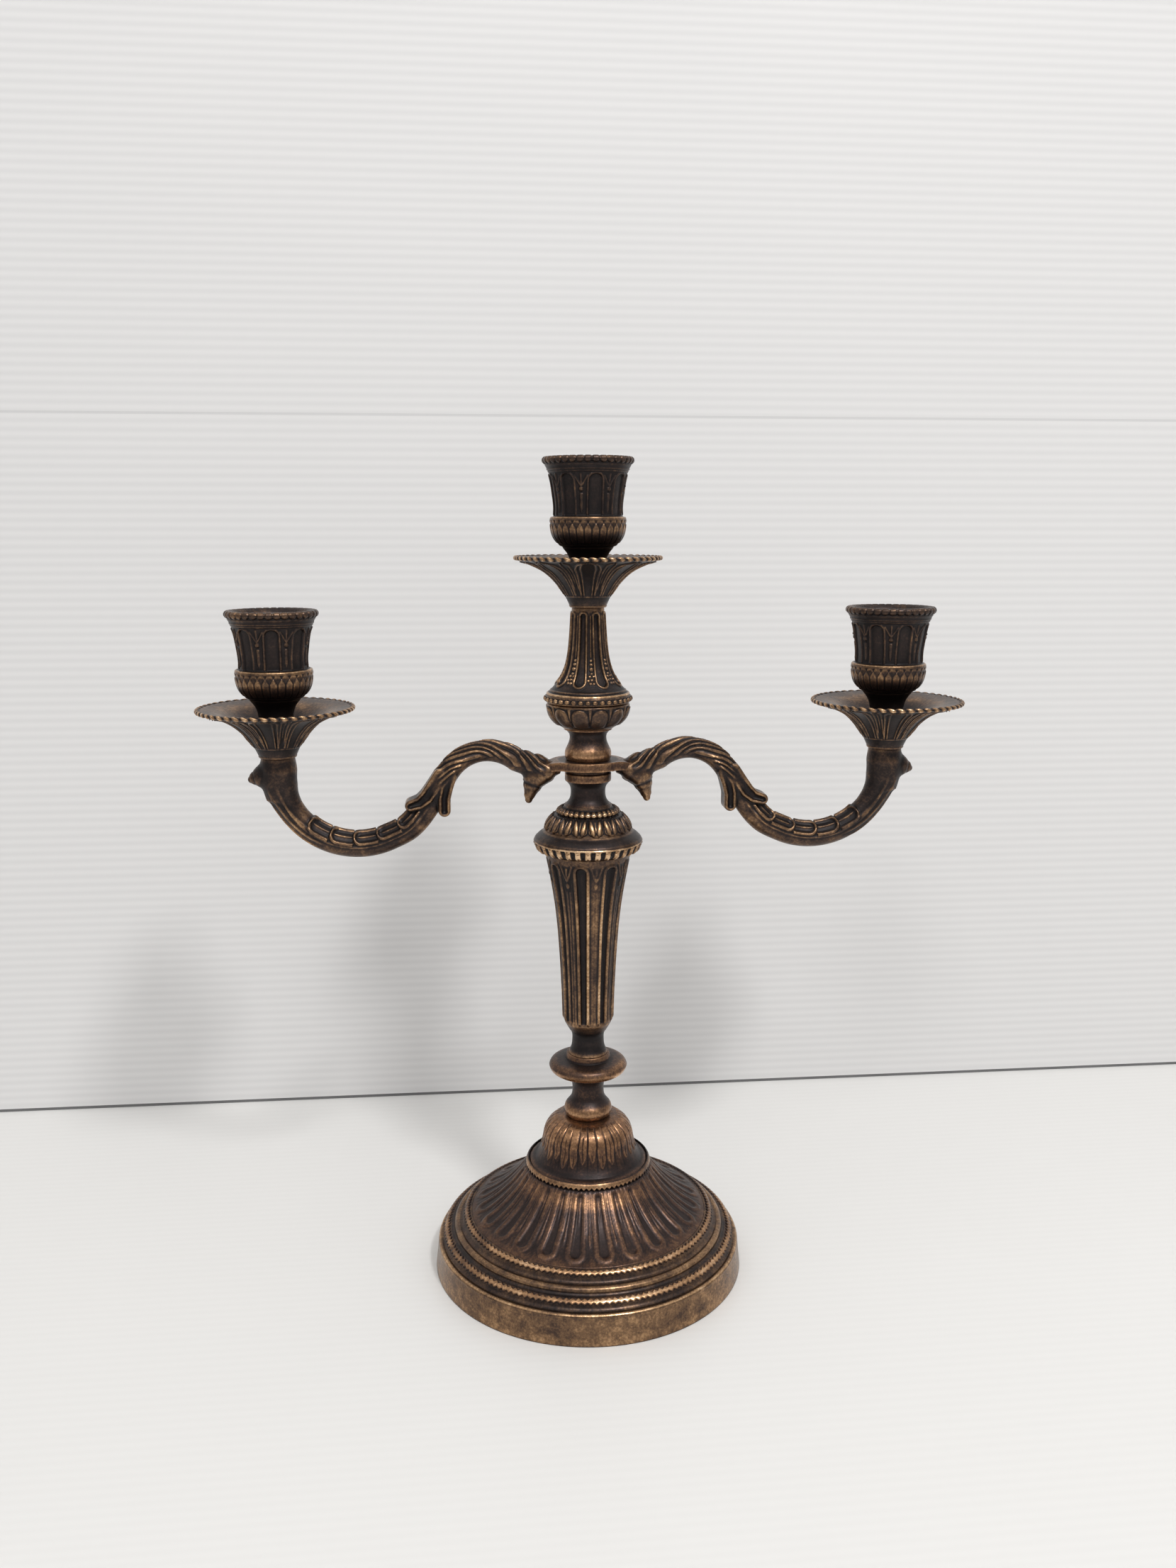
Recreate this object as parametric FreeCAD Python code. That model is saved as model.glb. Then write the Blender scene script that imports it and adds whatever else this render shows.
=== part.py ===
import FreeCAD, Part
import math
import os

from FreeCAD import Vector

# Three-light table candelabra in antique brass. All sizes are in millimetres.
# +Z is up, the origin is the centre of the base's rim on the table, and the arms lie along +X and -X.

# Driving dimensions
BASE_RADIUS = 63.5            # 5 inch base
ARM_REACH = 118.9             # stem axis to side candle axis
CANDLE_BORE_RADIUS = 11.0     # takes a standard 22 mm (7/8 inch) candle
CENTRE_PAN_RADIUS = 28.4
SIDE_PAN_RADIUS = 29.8
ROD_RADIUS = 3.0              # M6 tie rod through the whole stem
SCREW_RADIUS = 2.0            # M4 screw that holds each cup and pan
ROD_HOLE_RADIUS = ROD_RADIUS + 0.25
RUNNING_CLEARANCE = 0.05      # radial, where a piece turns on a rod or screw

# Heights of the stacked pieces, from the table up
BASE_HEIGHT = 64.0
KNOP_HEIGHT = 27.3
COLUMN_HEIGHT = 84.4
COLLAR_HEIGHT = 9.1
DOME_HEIGHT = 10.1
NECK_HEIGHT = 13.6
WASHER_THICKNESS = 0.8
PLATE_THICKNESS = 3.3
SPOOL_HEIGHT = 12.6
BOWL_HEIGHT = 10.0
STEM_HEIGHT = 36.3
PAN_SEAT_HEIGHT = 11.0        # pan's underside to the flat that the cup stands on
PAN_RIM_HEIGHT = 19.5         # pan's underside to the top of its rim
CUP_HEIGHT = 44.7

KNOP_SEAT = BASE_HEIGHT
COLUMN_SEAT = KNOP_SEAT + KNOP_HEIGHT
COLLAR_SEAT = COLUMN_SEAT + COLUMN_HEIGHT
DOME_SEAT = COLLAR_SEAT + COLLAR_HEIGHT
NECK_SEAT = DOME_SEAT + DOME_HEIGHT
WASHER_SEAT = NECK_SEAT + NECK_HEIGHT
PLATE_SEAT = WASHER_SEAT + WASHER_THICKNESS
SPOOL_SEAT = PLATE_SEAT + PLATE_THICKNESS
BOWL_SEAT = SPOOL_SEAT + SPOOL_HEIGHT
STEM_SEAT = BOWL_SEAT + BOWL_HEIGHT
CENTRE_PAN_SEAT = STEM_SEAT + STEM_HEIGHT
ARM_TOP = 215.4               # where a side pan stands on its arm

# Base shell and the hardware under it
BASE_WALL = 2.0
BASE_CEILING = 3.0
BASE_WASHER_RADIUS = 9.5
BASE_WASHER_THICKNESS = 1.6
NUT_ACROSS_FLATS = 10.0
NUT_HEIGHT = 5.0
ROD_BELOW_NUT = 2.0
ROD_IN_STEM = 18.0

# Candle cup bore and its screw, heights above the cup's seat
CUP_FLOOR = 16.0
CUP_BORE_TOP = 38.0
MOUTH_RADIUS = 14.6
SCREW_HEAD_RADIUS = 3.6
SCREW_HEAD_HEIGHT = 2.4
COUNTERBORE_RADIUS = 4.2
COUNTERBORE_DEPTH = 2.8
SCREW_THREAD_LENGTH = 10.0
SCREW_SLOT_WIDTH = 0.9
SCREW_SLOT_DEPTH = 1.0
EDGE_BREAK = 0.5

# Hub plate, a ring with two bars that droop slightly towards the arms
HUB_RING_RADIUS = 12.3
BAR_ROOT_HALF_WIDTH = 7.5
BAR_HALF_WIDTH = 3.2
BAR_ROOT_X = 8.4              # just outside the washer under the ring
BAR_NECK_X = 13.0
BAR_END_X = 20.0
BAR_DROOP = 1.5

# Arm centre line: an arch, a straight run and a U, each arc in the XZ plane
ARCH_CENTRE = (39.2, 198.5)
ARCH_RADIUS = 18.0
ARCH_START_DEG = 128.0
U_RADIUS = 29.5
U_CENTRE = (ARM_REACH - U_RADIUS, 210.0)
SOCKET_RADIUS = 6.4
SOCKET_FOOT = 205.0
ARM_SLENDERNESS = 0.94        # an arm's section is this much thinner from front to back


class Outline:
    """Half section of a turned piece, drawn in radius and height above the piece's seat."""

    def __init__(self, radius, height):
        self.start = Vector(radius, 0, height)
        self.here = self.start
        self.edges = []

    def line(self, radius, height):
        end = Vector(radius, 0, height)
        self.edges.append(Part.LineSegment(self.here, end).toShape())
        self.here = end
        return self

    def arc(self, middle, end):
        middle_point = Vector(middle[0], 0, middle[1])
        end_point = Vector(end[0], 0, end[1])
        self.edges.append(Part.Arc(self.here, middle_point, end_point).toShape())
        self.here = end_point
        return self

    def curve(self, *points):
        spline = Part.BSplineCurve()
        through = [self.here] + [Vector(radius, 0, height) for radius, height in points]
        spline.interpolate(through)
        self.edges.append(spline.toShape())
        self.here = through[-1]
        return self

    def solid(self, seat, x=0.0):
        self.line(self.start.x, self.start.z)
        face = Part.Face(Part.Wire(self.edges))
        body = face.revolve(Vector(0, 0, 0), Vector(0, 0, 1), 360)
        body.translate(Vector(x, 0, seat))
        return body


def cylinder(radius, low, high, x=0.0):
    return Part.makeCylinder(radius, high - low, Vector(x, 0, low))


def rod(radius, low, high, x=0.0):
    """A plain shank with a chamfer on both ends."""
    shank = cylinder(radius, low, high, x)
    ends = [edge for edge in shank.Edges if edge.Closed]
    return shank.makeChamfer(EDGE_BREAK, ends)


# ---- Base -------------------------------------------------------------------------------------

def base_shell():
    wall = BASE_WALL
    outline = Outline(BASE_RADIUS, 0)
    outline.line(62.2, 11.2).arc((61.9, 12.0), (61.1, 12.3))
    outline.line(60.2, 12.3).arc((59.0, 13.5), (58.8, 14.9))
    outline.arc((58.4, 16.1), (57.2, 16.5))
    outline.arc((53.8, 17.8), (50.8, 21.0))
    outline.arc((50.1, 22.6), (48.6, 23.2))
    outline.curve((44.8, 24.9), (36.4, 30.4), (29.4, 37.4), (25.2, 42.8))
    outline.line(23.9, 43.2).arc((24.4, 44.3), (23.6, 45.4)).line(22.0, 46.0)
    outline.curve((20.0, 49.0), (18.7, 52.6), (17.9, 56.6))
    outline.arc((15.3, 61.5), (10.2, BASE_HEIGHT))
    outline.line(ROD_HOLE_RADIUS, BASE_HEIGHT)
    outline.line(ROD_HOLE_RADIUS, BASE_HEIGHT - BASE_CEILING)
    outline.line(10.4, BASE_HEIGHT - BASE_CEILING)
    outline.arc((14.2, 59.4), (16.2, 55.6))
    outline.curve((16.9, 50.6), (19.4, 44.4), (25.0, 37.2), (34.0, 28.4), (47.6, 20.6))
    outline.line(56.0, 14.2).line(60.4, 10.2)
    outline.line(BASE_RADIUS - wall, 0)
    return outline.solid(0)


def base_washer():
    top = BASE_HEIGHT - BASE_CEILING
    disc = cylinder(BASE_WASHER_RADIUS, top - BASE_WASHER_THICKNESS, top)
    return disc.cut(cylinder(ROD_HOLE_RADIUS, 0, top))


def base_nut():
    top = BASE_HEIGHT - BASE_CEILING - BASE_WASHER_THICKNESS
    corner_radius = NUT_ACROSS_FLATS / 2 / math.cos(math.pi / 6)
    corners = [Vector(corner_radius * math.cos(math.radians(turn)),
                      corner_radius * math.sin(math.radians(turn)), top - NUT_HEIGHT)
               for turn in range(0, 361, 60)]
    hexagon = Part.Face(Part.makePolygon(corners)).extrude(Vector(0, 0, NUT_HEIGHT))
    return hexagon.cut(cylinder(ROD_RADIUS, 0, top))


def tie_rod():
    low = BASE_HEIGHT - BASE_CEILING - BASE_WASHER_THICKNESS - NUT_HEIGHT - ROD_BELOW_NUT
    return rod(ROD_RADIUS, low, STEM_SEAT + ROD_IN_STEM)


# ---- Stem -------------------------------------------------------------------------------------

def knop():
    outline = Outline(ROD_HOLE_RADIUS, 0).line(8.4, 0)
    outline.arc((9.7, 3.0), (8.6, 5.8))
    outline.curve((6.9, 8.2), (6.4, 11.4), (6.7, 14.6), (8.0, 17.4))
    outline.line(9.4, 18.2)
    outline.curve((12.6, 18.9), (15.2, 20.4), (15.9, 22.1))
    outline.curve((15.1, 23.6), (12.0, 24.7), (9.2, 25.1))
    outline.line(8.6, KNOP_HEIGHT).line(ROD_HOLE_RADIUS, KNOP_HEIGHT)
    return outline.solid(KNOP_SEAT)


def column():
    outline = Outline(ROD_HOLE_RADIUS, 0).line(8.0, 0)
    outline.curve((6.9, 2.4), (6.4, 6.0), (6.7, 8.8), (7.7, 10.4))
    outline.line(9.5, 13.6).line(9.9, 15.2)
    outline.curve((10.2, 26.0), (11.0, 42.0), (12.6, 61.0), (14.8, 75.0), (16.6, COLUMN_HEIGHT))
    outline.line(ROD_HOLE_RADIUS, COLUMN_HEIGHT)
    return outline.solid(COLUMN_SEAT)


def beaded_collar():
    outline = Outline(ROD_HOLE_RADIUS, 0).line(16.4, 0).line(16.8, 1.0)
    outline.curve((18.4, 1.5), (19.9, 2.4), (20.8, 3.4))
    outline.arc((21.4, 4.7), (20.8, 6.1))
    outline.curve((19.4, 7.4), (18.0, 8.4), (17.3, COLLAR_HEIGHT))
    outline.line(ROD_HOLE_RADIUS, COLLAR_HEIGHT)
    return outline.solid(COLLAR_SEAT)


def leaf_dome():
    outline = Outline(ROD_HOLE_RADIUS, 0).line(17.1, 0)
    outline.arc((15.9, 3.2), (12.8, 6.3))
    outline.line(11.3, 6.5).arc((12.1, 7.4), (11.4, 8.4))
    outline.line(9.6, 8.8).line(9.2, DOME_HEIGHT)
    outline.line(ROD_HOLE_RADIUS, DOME_HEIGHT)
    return outline.solid(DOME_SEAT)


def neck():
    outline = Outline(ROD_HOLE_RADIUS, 0).line(8.9, 0)
    outline.curve((7.4, 1.9), (6.8, 4.9), (7.2, 7.4), (8.6, 9.2))
    outline.arc((9.0, 9.5), (9.1, 10.0))
    outline.line(9.1, 12.4).line(8.6, 13.0).line(8.6, NECK_HEIGHT)
    outline.line(ROD_HOLE_RADIUS, NECK_HEIGHT)
    return outline.solid(NECK_SEAT)


def hub_washer():
    disc = cylinder(8.2, WASHER_SEAT, PLATE_SEAT)
    return disc.cut(cylinder(ROD_HOLE_RADIUS, WASHER_SEAT, PLATE_SEAT))


def upper_spool():
    outline = Outline(ROD_HOLE_RADIUS, 0).line(8.4, 0)
    outline.arc((8.9, 1.8), (8.0, 3.4))
    outline.curve((7.1, 5.2), (6.9, 7.4), (7.4, 9.9), (8.8, 11.6))
    outline.line(9.4, 11.9).line(9.4, SPOOL_HEIGHT)
    outline.line(ROD_HOLE_RADIUS, SPOOL_HEIGHT)
    return outline.solid(SPOOL_SEAT)


def gadroon_bowl():
    outline = Outline(ROD_HOLE_RADIUS, 0).line(9.6, 0)
    outline.curve((12.5, 1.9), (15.1, 4.8), (16.2, 8.2))
    outline.arc((15.9, 9.5), (15.2, BOWL_HEIGHT))
    outline.line(ROD_HOLE_RADIUS, BOWL_HEIGHT)
    return outline.solid(BOWL_SEAT)


def centre_stem():
    outline = Outline(ROD_RADIUS, 0).line(15.8, 0)
    outline.arc((16.9, 1.6), (16.0, 3.2))
    outline.curve((12.9, 6.6), (10.2, 10.2), (8.3, 15.0), (7.2, 21.4), (6.6, 29.0), (6.2, STEM_HEIGHT))
    outline.line(SCREW_RADIUS, STEM_HEIGHT)
    outline.line(SCREW_RADIUS, STEM_HEIGHT - SCREW_THREAD_LENGTH - EDGE_BREAK)
    outline.line(0, STEM_HEIGHT - SCREW_THREAD_LENGTH - EDGE_BREAK)
    outline.line(0, ROD_IN_STEM + EDGE_BREAK).line(ROD_RADIUS, ROD_IN_STEM + EDGE_BREAK)
    return outline.solid(STEM_SEAT)


# ---- Hub plate and arms -----------------------------------------------------------------------

def hub_bar(side):
    """One bar of the hub plate, from inside the ring to its end inside the arm."""
    stations = ((BAR_ROOT_X, BAR_ROOT_HALF_WIDTH), (BAR_NECK_X, BAR_HALF_WIDTH), (BAR_END_X, BAR_HALF_WIDTH))
    wires = []
    for x, half_width in stations:
        low = PLATE_SEAT - BAR_DROOP * (x - BAR_ROOT_X) / (BAR_NECK_X - BAR_ROOT_X)
        if x == BAR_END_X:
            low = PLATE_SEAT - BAR_DROOP
        high = low + PLATE_THICKNESS
        corners = [Vector(side * x, -half_width, low), Vector(side * x, half_width, low),
                   Vector(side * x, half_width, high), Vector(side * x, -half_width, high)]
        wires.append(Part.makePolygon(corners + corners[:1]))
    return Part.makeLoft(wires, True, True)


def hub_plate():
    ring = cylinder(HUB_RING_RADIUS, PLATE_SEAT, SPOOL_SEAT)
    plate = ring.fuse([hub_bar(1), hub_bar(-1)])
    return plate.cut(cylinder(ROD_RADIUS + RUNNING_CLEARANCE, PLATE_SEAT - 1, SPOOL_SEAT + 1)).removeSplitter()


def arm_path():
    """Centre line of the right arm as (x, z, direction in degrees), from the hub to the socket."""
    across = U_CENTRE[0] - ARCH_CENTRE[0]
    up = U_CENTRE[1] - ARCH_CENTRE[1]
    between = math.hypot(across, up)
    lean = math.degrees(math.atan2(up, across))
    # The straight run is the inner tangent of the two arcs.
    tangent_deg = lean + math.degrees(math.acos((ARCH_RADIUS + U_RADIUS) / between))
    path = []
    for step in range(7):
        turn = ARCH_START_DEG + (tangent_deg - ARCH_START_DEG) * step / 6
        path.append((ARCH_CENTRE[0] + ARCH_RADIUS * math.cos(math.radians(turn)),
                     ARCH_CENTRE[1] + ARCH_RADIUS * math.sin(math.radians(turn)), turn - 90))
    u_start = tangent_deg - 180
    for step in range(8):
        turn = u_start - u_start * step / 7
        path.append((U_CENTRE[0] + U_RADIUS * math.cos(math.radians(turn)),
                     U_CENTRE[1] + U_RADIUS * math.sin(math.radians(turn)), turn + 90))
    return path


def section(x, z, direction_deg, radius):
    """Round wire across the arm, a little thinner from front to back."""
    along = Vector(math.cos(math.radians(direction_deg)), 0, math.sin(math.radians(direction_deg)))
    across = Vector(-along.z, 0, along.x)
    ellipse = Part.Ellipse(Vector(x, 0, z) + across * radius,
                           Vector(x, radius * ARM_SLENDERNESS, z), Vector(x, 0, z))
    return Part.Wire(ellipse.toShape())


def horn(points):
    """Pointed leaf tip through (x, z, direction, radius) sections, with a ball on its end."""
    wires = [section(*point) for point in points]
    x, z, _, radius = points[-1]
    return Part.makeLoft(wires, True, False).fuse(Part.makeSphere(radius * 0.97, Vector(x, 0, z)))


def arm_core():
    root = [(12.6, 209.2, 0, 2.6), (16.0, 209.2, 5, 3.8), (20.5, 210.0, 22, 4.9)]
    radii = (4.7, 4.2, 4.1, 4.1, 4.2, 4.2, 4.3, 5.5, 5.2, 5.0, 5.0, 5.0, 4.8, 5.0, 6.0)
    stations = [point + (radius,) for point, radius in zip(arm_path(), radii)]
    wires = [section(*station) for station in root + stations]
    return Part.makeLoft(wires, True, False)


def arm(side):
    socket = cylinder(SOCKET_RADIUS, SOCKET_FOOT, ARM_TOP, ARM_REACH)
    hub_spur = horn([(19.6, 208.6, -80, 6.4), (21.6, 203.6, -76, 3.6), (23.2, 197.1, -82, 1.2)])
    upper_lobe = horn([(59.6, 202.0, -52, 4.0), (65.2, 197.8, -25, 3.0), (69.3, 196.2, -30, 1.9)])
    lower_lobe = horn([(57.6, 202.0, -70, 4.4), (56.8, 197.4, -95, 3.2), (56.1, 193.4, -95, 2.0)])
    outer_spur = horn([(121.0, 208.2, 0, 5.2), (125.6, 208.0, -8, 2.9), (128.8, 206.9, -16, 1.1)])
    shape = arm_core().fuse([socket, hub_spur, upper_lobe, lower_lobe, outer_spur])
    shape = shape.cut([cylinder(SCREW_RADIUS, ARM_TOP - SCREW_THREAD_LENGTH - EDGE_BREAK, ARM_TOP, ARM_REACH),
                       hub_bar(1), cylinder(HUB_RING_RADIUS, PLATE_SEAT - 5, SPOOL_SEAT + 5)])
    if side < 0:
        shape = shape.mirror(Vector(0, 0, 0), Vector(1, 0, 0))
    return shape


# ---- Pans, candle cups and their screws -------------------------------------------------------

def drip_pan(radius, x, seat):
    hole = SCREW_RADIUS + 2 * RUNNING_CLEARANCE
    rim = PAN_RIM_HEIGHT
    outline = Outline(hole, 0).line(6.6, 0).arc((7.1, 0.3), (7.2, 1.0))
    outline.curve((8.9, 4.6), (12.1, 9.3), (17.4, 14.1), (22.8, 16.8))
    outline.line(radius - 1.3, rim - 1.7)
    outline.arc((radius, rim - 0.8), (radius - 1.2, rim))
    outline.line(radius - 2.2, rim - 0.4)
    outline.curve((20.4, rim - 2.0), (14.6, rim - 5.2), (9.6, PAN_SEAT_HEIGHT))
    outline.line(hole, PAN_SEAT_HEIGHT)
    return outline.solid(seat, x)


def candle_cup(x, pan_seat):
    hole = SCREW_RADIUS + RUNNING_CLEARANCE
    outline = Outline(hole, 0).line(6.2, 0).line(6.2, 0.8)
    outline.curve((5.7, 2.6), (5.9, 6.0), (7.2, 9.4), (9.0, 11.7))
    outline.line(9.1, 12.3).line(10.4, 12.7)
    outline.curve((12.6, 15.2), (14.0, 18.2), (14.4, 20.8))
    outline.arc((14.2, 22.4), (13.2, 23.0))
    outline.line(12.8, 23.4)
    outline.curve((12.7, 26.0), (13.3, 31.8), (14.3, 37.4), (15.8, 41.0), (16.7, 42.4))
    outline.arc((17.3, 43.6), (16.6, CUP_HEIGHT))
    outline.line(MOUTH_RADIUS, CUP_HEIGHT)
    outline.curve((12.4, 41.6), (CANDLE_BORE_RADIUS, CUP_BORE_TOP))
    outline.line(CANDLE_BORE_RADIUS, CUP_FLOOR)
    outline.line(COUNTERBORE_RADIUS, CUP_FLOOR)
    outline.line(COUNTERBORE_RADIUS, CUP_FLOOR - COUNTERBORE_DEPTH)
    outline.line(hole, CUP_FLOOR - COUNTERBORE_DEPTH)
    return outline.solid(pan_seat + PAN_SEAT_HEIGHT, x)


def cup_screw(x, pan_seat):
    under_head = pan_seat + PAN_SEAT_HEIGHT + CUP_FLOOR - COUNTERBORE_DEPTH
    head_top = under_head + SCREW_HEAD_HEIGHT
    shank = rod(SCREW_RADIUS, pan_seat - SCREW_THREAD_LENGTH, under_head + 1, x)
    head = cylinder(SCREW_HEAD_RADIUS, under_head, head_top, x)
    head = head.makeFillet(EDGE_BREAK, [edge for edge in head.Edges if edge.Closed and edge.BoundBox.ZMin > under_head])
    slot = Part.makeBox(3 * SCREW_HEAD_RADIUS, SCREW_SLOT_WIDTH, SCREW_SLOT_DEPTH + 1,
                        Vector(x - 1.5 * SCREW_HEAD_RADIUS, -SCREW_SLOT_WIDTH / 2, head_top - SCREW_SLOT_DEPTH))
    return shank.fuse(head).cut(slot).removeSplitter()


# ---- Assembly ---------------------------------------------------------------------------------

def candle_lights():
    """Pan, cup and screw of each light, by node name."""
    places = (("left", -ARM_REACH, ARM_TOP, SIDE_PAN_RADIUS),
              ("centre", 0.0, CENTRE_PAN_SEAT, CENTRE_PAN_RADIUS),
              ("right", ARM_REACH, ARM_TOP, SIDE_PAN_RADIUS))
    pieces = {}
    for name, x, seat, pan_radius in places:
        pieces[name + "_drip_pan"] = drip_pan(pan_radius, x, seat)
        pieces[name + "_candle_cup"] = candle_cup(x, seat)
        pieces[name + "_cup_screw"] = cup_screw(x, seat)
    return pieces


def build():
    pieces = {
        "base_shell": base_shell(),
        "base_washer": base_washer(),
        "base_nut": base_nut(),
        "tie_rod": tie_rod(),
        "knop": knop(),
        "fluted_column": column(),
        "beaded_collar": beaded_collar(),
        "leaf_dome": leaf_dome(),
        "neck_spool": neck(),
        "hub_washer": hub_washer(),
        "hub_plate": hub_plate(),
        "left_arm": arm(-1),
        "right_arm": arm(1),
        "upper_spool": upper_spool(),
        "gadroon_bowl": gadroon_bowl(),
        "centre_stem": centre_stem(),
    }
    pieces.update(candle_lights())
    return pieces


os.makedirs("parts", exist_ok=True)
for node, shape in build().items():
    shape.exportStep(os.path.join("parts", node + ".step"))
    print(node, "valid" if shape.isValid() else "NOT VALID", len(shape.Solids), round(shape.Volume, 1))
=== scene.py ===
import math

import bpy
import numpy as np
import openvdb
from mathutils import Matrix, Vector


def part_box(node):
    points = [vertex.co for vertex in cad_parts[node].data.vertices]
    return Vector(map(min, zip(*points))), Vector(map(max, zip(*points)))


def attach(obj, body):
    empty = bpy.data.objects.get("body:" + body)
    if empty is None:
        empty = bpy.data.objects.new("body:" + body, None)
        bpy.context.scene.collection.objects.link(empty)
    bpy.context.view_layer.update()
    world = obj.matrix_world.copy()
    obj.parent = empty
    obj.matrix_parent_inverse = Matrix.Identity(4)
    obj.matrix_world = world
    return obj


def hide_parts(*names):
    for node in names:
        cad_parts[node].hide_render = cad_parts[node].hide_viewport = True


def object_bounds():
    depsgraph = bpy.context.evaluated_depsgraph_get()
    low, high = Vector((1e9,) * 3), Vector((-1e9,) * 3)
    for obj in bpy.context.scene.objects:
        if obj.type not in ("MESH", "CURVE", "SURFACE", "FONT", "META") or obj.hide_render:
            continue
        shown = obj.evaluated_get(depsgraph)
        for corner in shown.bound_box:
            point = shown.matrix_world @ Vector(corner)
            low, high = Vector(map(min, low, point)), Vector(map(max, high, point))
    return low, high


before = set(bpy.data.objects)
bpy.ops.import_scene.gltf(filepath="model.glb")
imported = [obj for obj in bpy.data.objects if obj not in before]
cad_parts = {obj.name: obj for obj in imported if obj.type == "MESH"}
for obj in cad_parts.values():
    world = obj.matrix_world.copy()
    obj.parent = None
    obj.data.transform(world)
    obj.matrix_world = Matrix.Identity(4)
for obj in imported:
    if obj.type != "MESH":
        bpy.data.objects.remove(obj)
cad_low, cad_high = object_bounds()

# Three-light candelabra in antique brass. Sizes are in millimetres, and meshes are in metres.
# Angles round an axis are in degrees from the front (-Y), positive towards +X.
MM = 0.001
TURN = 2 * math.pi

# Number of repeats of each ornament round its piece
BELL_LEAVES = 30
TONGUES = 24
BELL_TEETH = 78
INNER_TEETH = 140
OUTER_TEETH = 160
COLUMN_FLUTES = 8
COLLAR_BLOCKS = 33
DOME_LEAVES = 16
DOME_BEADS = 32
BOWL_PETALS = 12
STEM_BEADS = 38
STEM_FLUTES = 8
ROPE_STRANDS = 52
PAN_PETALS = 8
CUP_TABS = 36
CUP_ARCHES = 8
CUP_LEAVES = 30
FRONT = -5.5                  # direction of the ornament's front, degrees


# ---- Outlines ---------------------------------------------------------------------------------

def spline(knots, step):
    """Points along a natural cubic through the knots, without the first knot."""
    knots = np.array(knots, float)
    chord = np.concatenate([[0], np.cumsum(np.hypot(*np.diff(knots, axis=0).T))])
    gap = np.diff(chord)
    slope = np.diff(knots, axis=0) / gap[:, None]
    count = len(knots)
    matrix = np.eye(count)
    target = np.zeros((count, 2))
    for i in range(1, count - 1):
        matrix[i, i - 1:i + 2] = gap[i - 1], 2 * (gap[i - 1] + gap[i]), gap[i]
        target[i] = 6 * (slope[i] - slope[i - 1])
    bend = np.linalg.solve(matrix, target)
    at = np.linspace(0, chord[-1], max(2, math.ceil(chord[-1] / step)) + 1)[1:]
    i = np.clip(np.searchsorted(chord, at) - 1, 0, count - 2)
    wide = gap[i][:, None]
    after = (at - chord[i])[:, None]
    before = wide - after
    return ((bend[i] * before ** 3 + bend[i + 1] * after ** 3) / (6 * wide)
            + (knots[i] / wide - bend[i] * wide / 6) * before
            + (knots[i + 1] / wide - bend[i + 1] * wide / 6) * after)


class Outline:
    """Half section of a turned piece, drawn in radius and height above the piece's seat."""

    def __init__(self, radius, height, step=0.35):
        self.rows = [np.array([[radius, height]], float)]
        self.step = step

    @property
    def here(self):
        return self.rows[-1][-1]

    def line(self, radius, height):
        end = np.array([radius, height], float)
        count = max(1, math.ceil(np.hypot(*(end - self.here)) / self.step))
        share = np.arange(1, count + 1)[:, None] / count
        self.rows.append(self.here + share * (end - self.here))
        return self

    def arc(self, middle, end):
        a, b, c = (complex(*p) for p in (self.here, middle, end))
        w = (c - a) / (b - a)
        centre = (b - a) * (w - abs(w) ** 2) / (2j * w.imag) + a
        turn_b = np.angle((b - centre) / (a - centre)) % TURN
        turn_c = np.angle((c - centre) / (a - centre)) % TURN
        sweep = turn_c if turn_b < turn_c else turn_c - TURN
        count = max(2, math.ceil(abs(sweep * (a - centre)) / self.step))
        points = centre + (a - centre) * np.exp(1j * sweep * np.arange(1, count + 1) / count)
        self.rows.append(np.stack([points.real, points.imag], 1))
        return self

    def curve(self, *points):
        self.rows.append(spline([tuple(self.here), *points], self.step))
        return self

    def finer(self, step):
        self.step = step
        return self

    def points(self):
        """The whole closed section."""
        self.line(*self.rows[0][0])
        return np.concatenate(self.rows)[:-1]


# ---- Relief helpers ---------------------------------------------------------------------------

def fold(turn, count, first):
    """Angle in radians to the nearest of a number of equal places round the axis."""
    pitch = TURN / count
    return (turn - math.radians(first) + pitch / 2) % pitch - pitch / 2


def ridge(distance, half_width):
    """1 on a line and 0 beyond its half width, rounded like a rib."""
    return np.clip(1 - (distance / half_width) ** 2, 0, 1)


def rise(value, low, high):
    share = np.clip((value - low) / (high - low), 0, 1)
    return share * share * (3 - 2 * share)


def band(value, low, high, soft=0.4):
    return rise(value, low - soft / 2, low + soft / 2) * (1 - rise(value, high - soft / 2, high + soft / 2))


def bead(across, along, radius):
    """Height of a half ball, as a share of its radius."""
    return np.sqrt(np.clip(1 - (across ** 2 + along ** 2) / radius ** 2, 0, 1))


def slot_edge(across, along, half_width, low, high):
    """Distance from the edge of a slot with round ends, negative inside it."""
    past = np.maximum(np.maximum(along - (high - half_width), (low + half_width) - along), 0)
    return np.hypot(across, past) - half_width


def chance(turn, count, first=0):
    """Fixed number from 0 to 1 for each of a number of repeats round the axis."""
    index = np.round((turn - math.radians(first)) * count / TURN) % count
    return (np.sin(index * 12.99 + 4.1) * 437.58) % 1


def front_lit_share(turn):
    """1 at the front, where the worn gilding shows most under the lamps, falling to 0.3 at the back: painted
    light on the lit side.
    """
    return 0.3 + 0.7 * (0.5 + 0.5 * np.cos(turn - math.radians(FRONT))) ** 6


# ---- Meshes -----------------------------------------------------------------------------------

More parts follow.
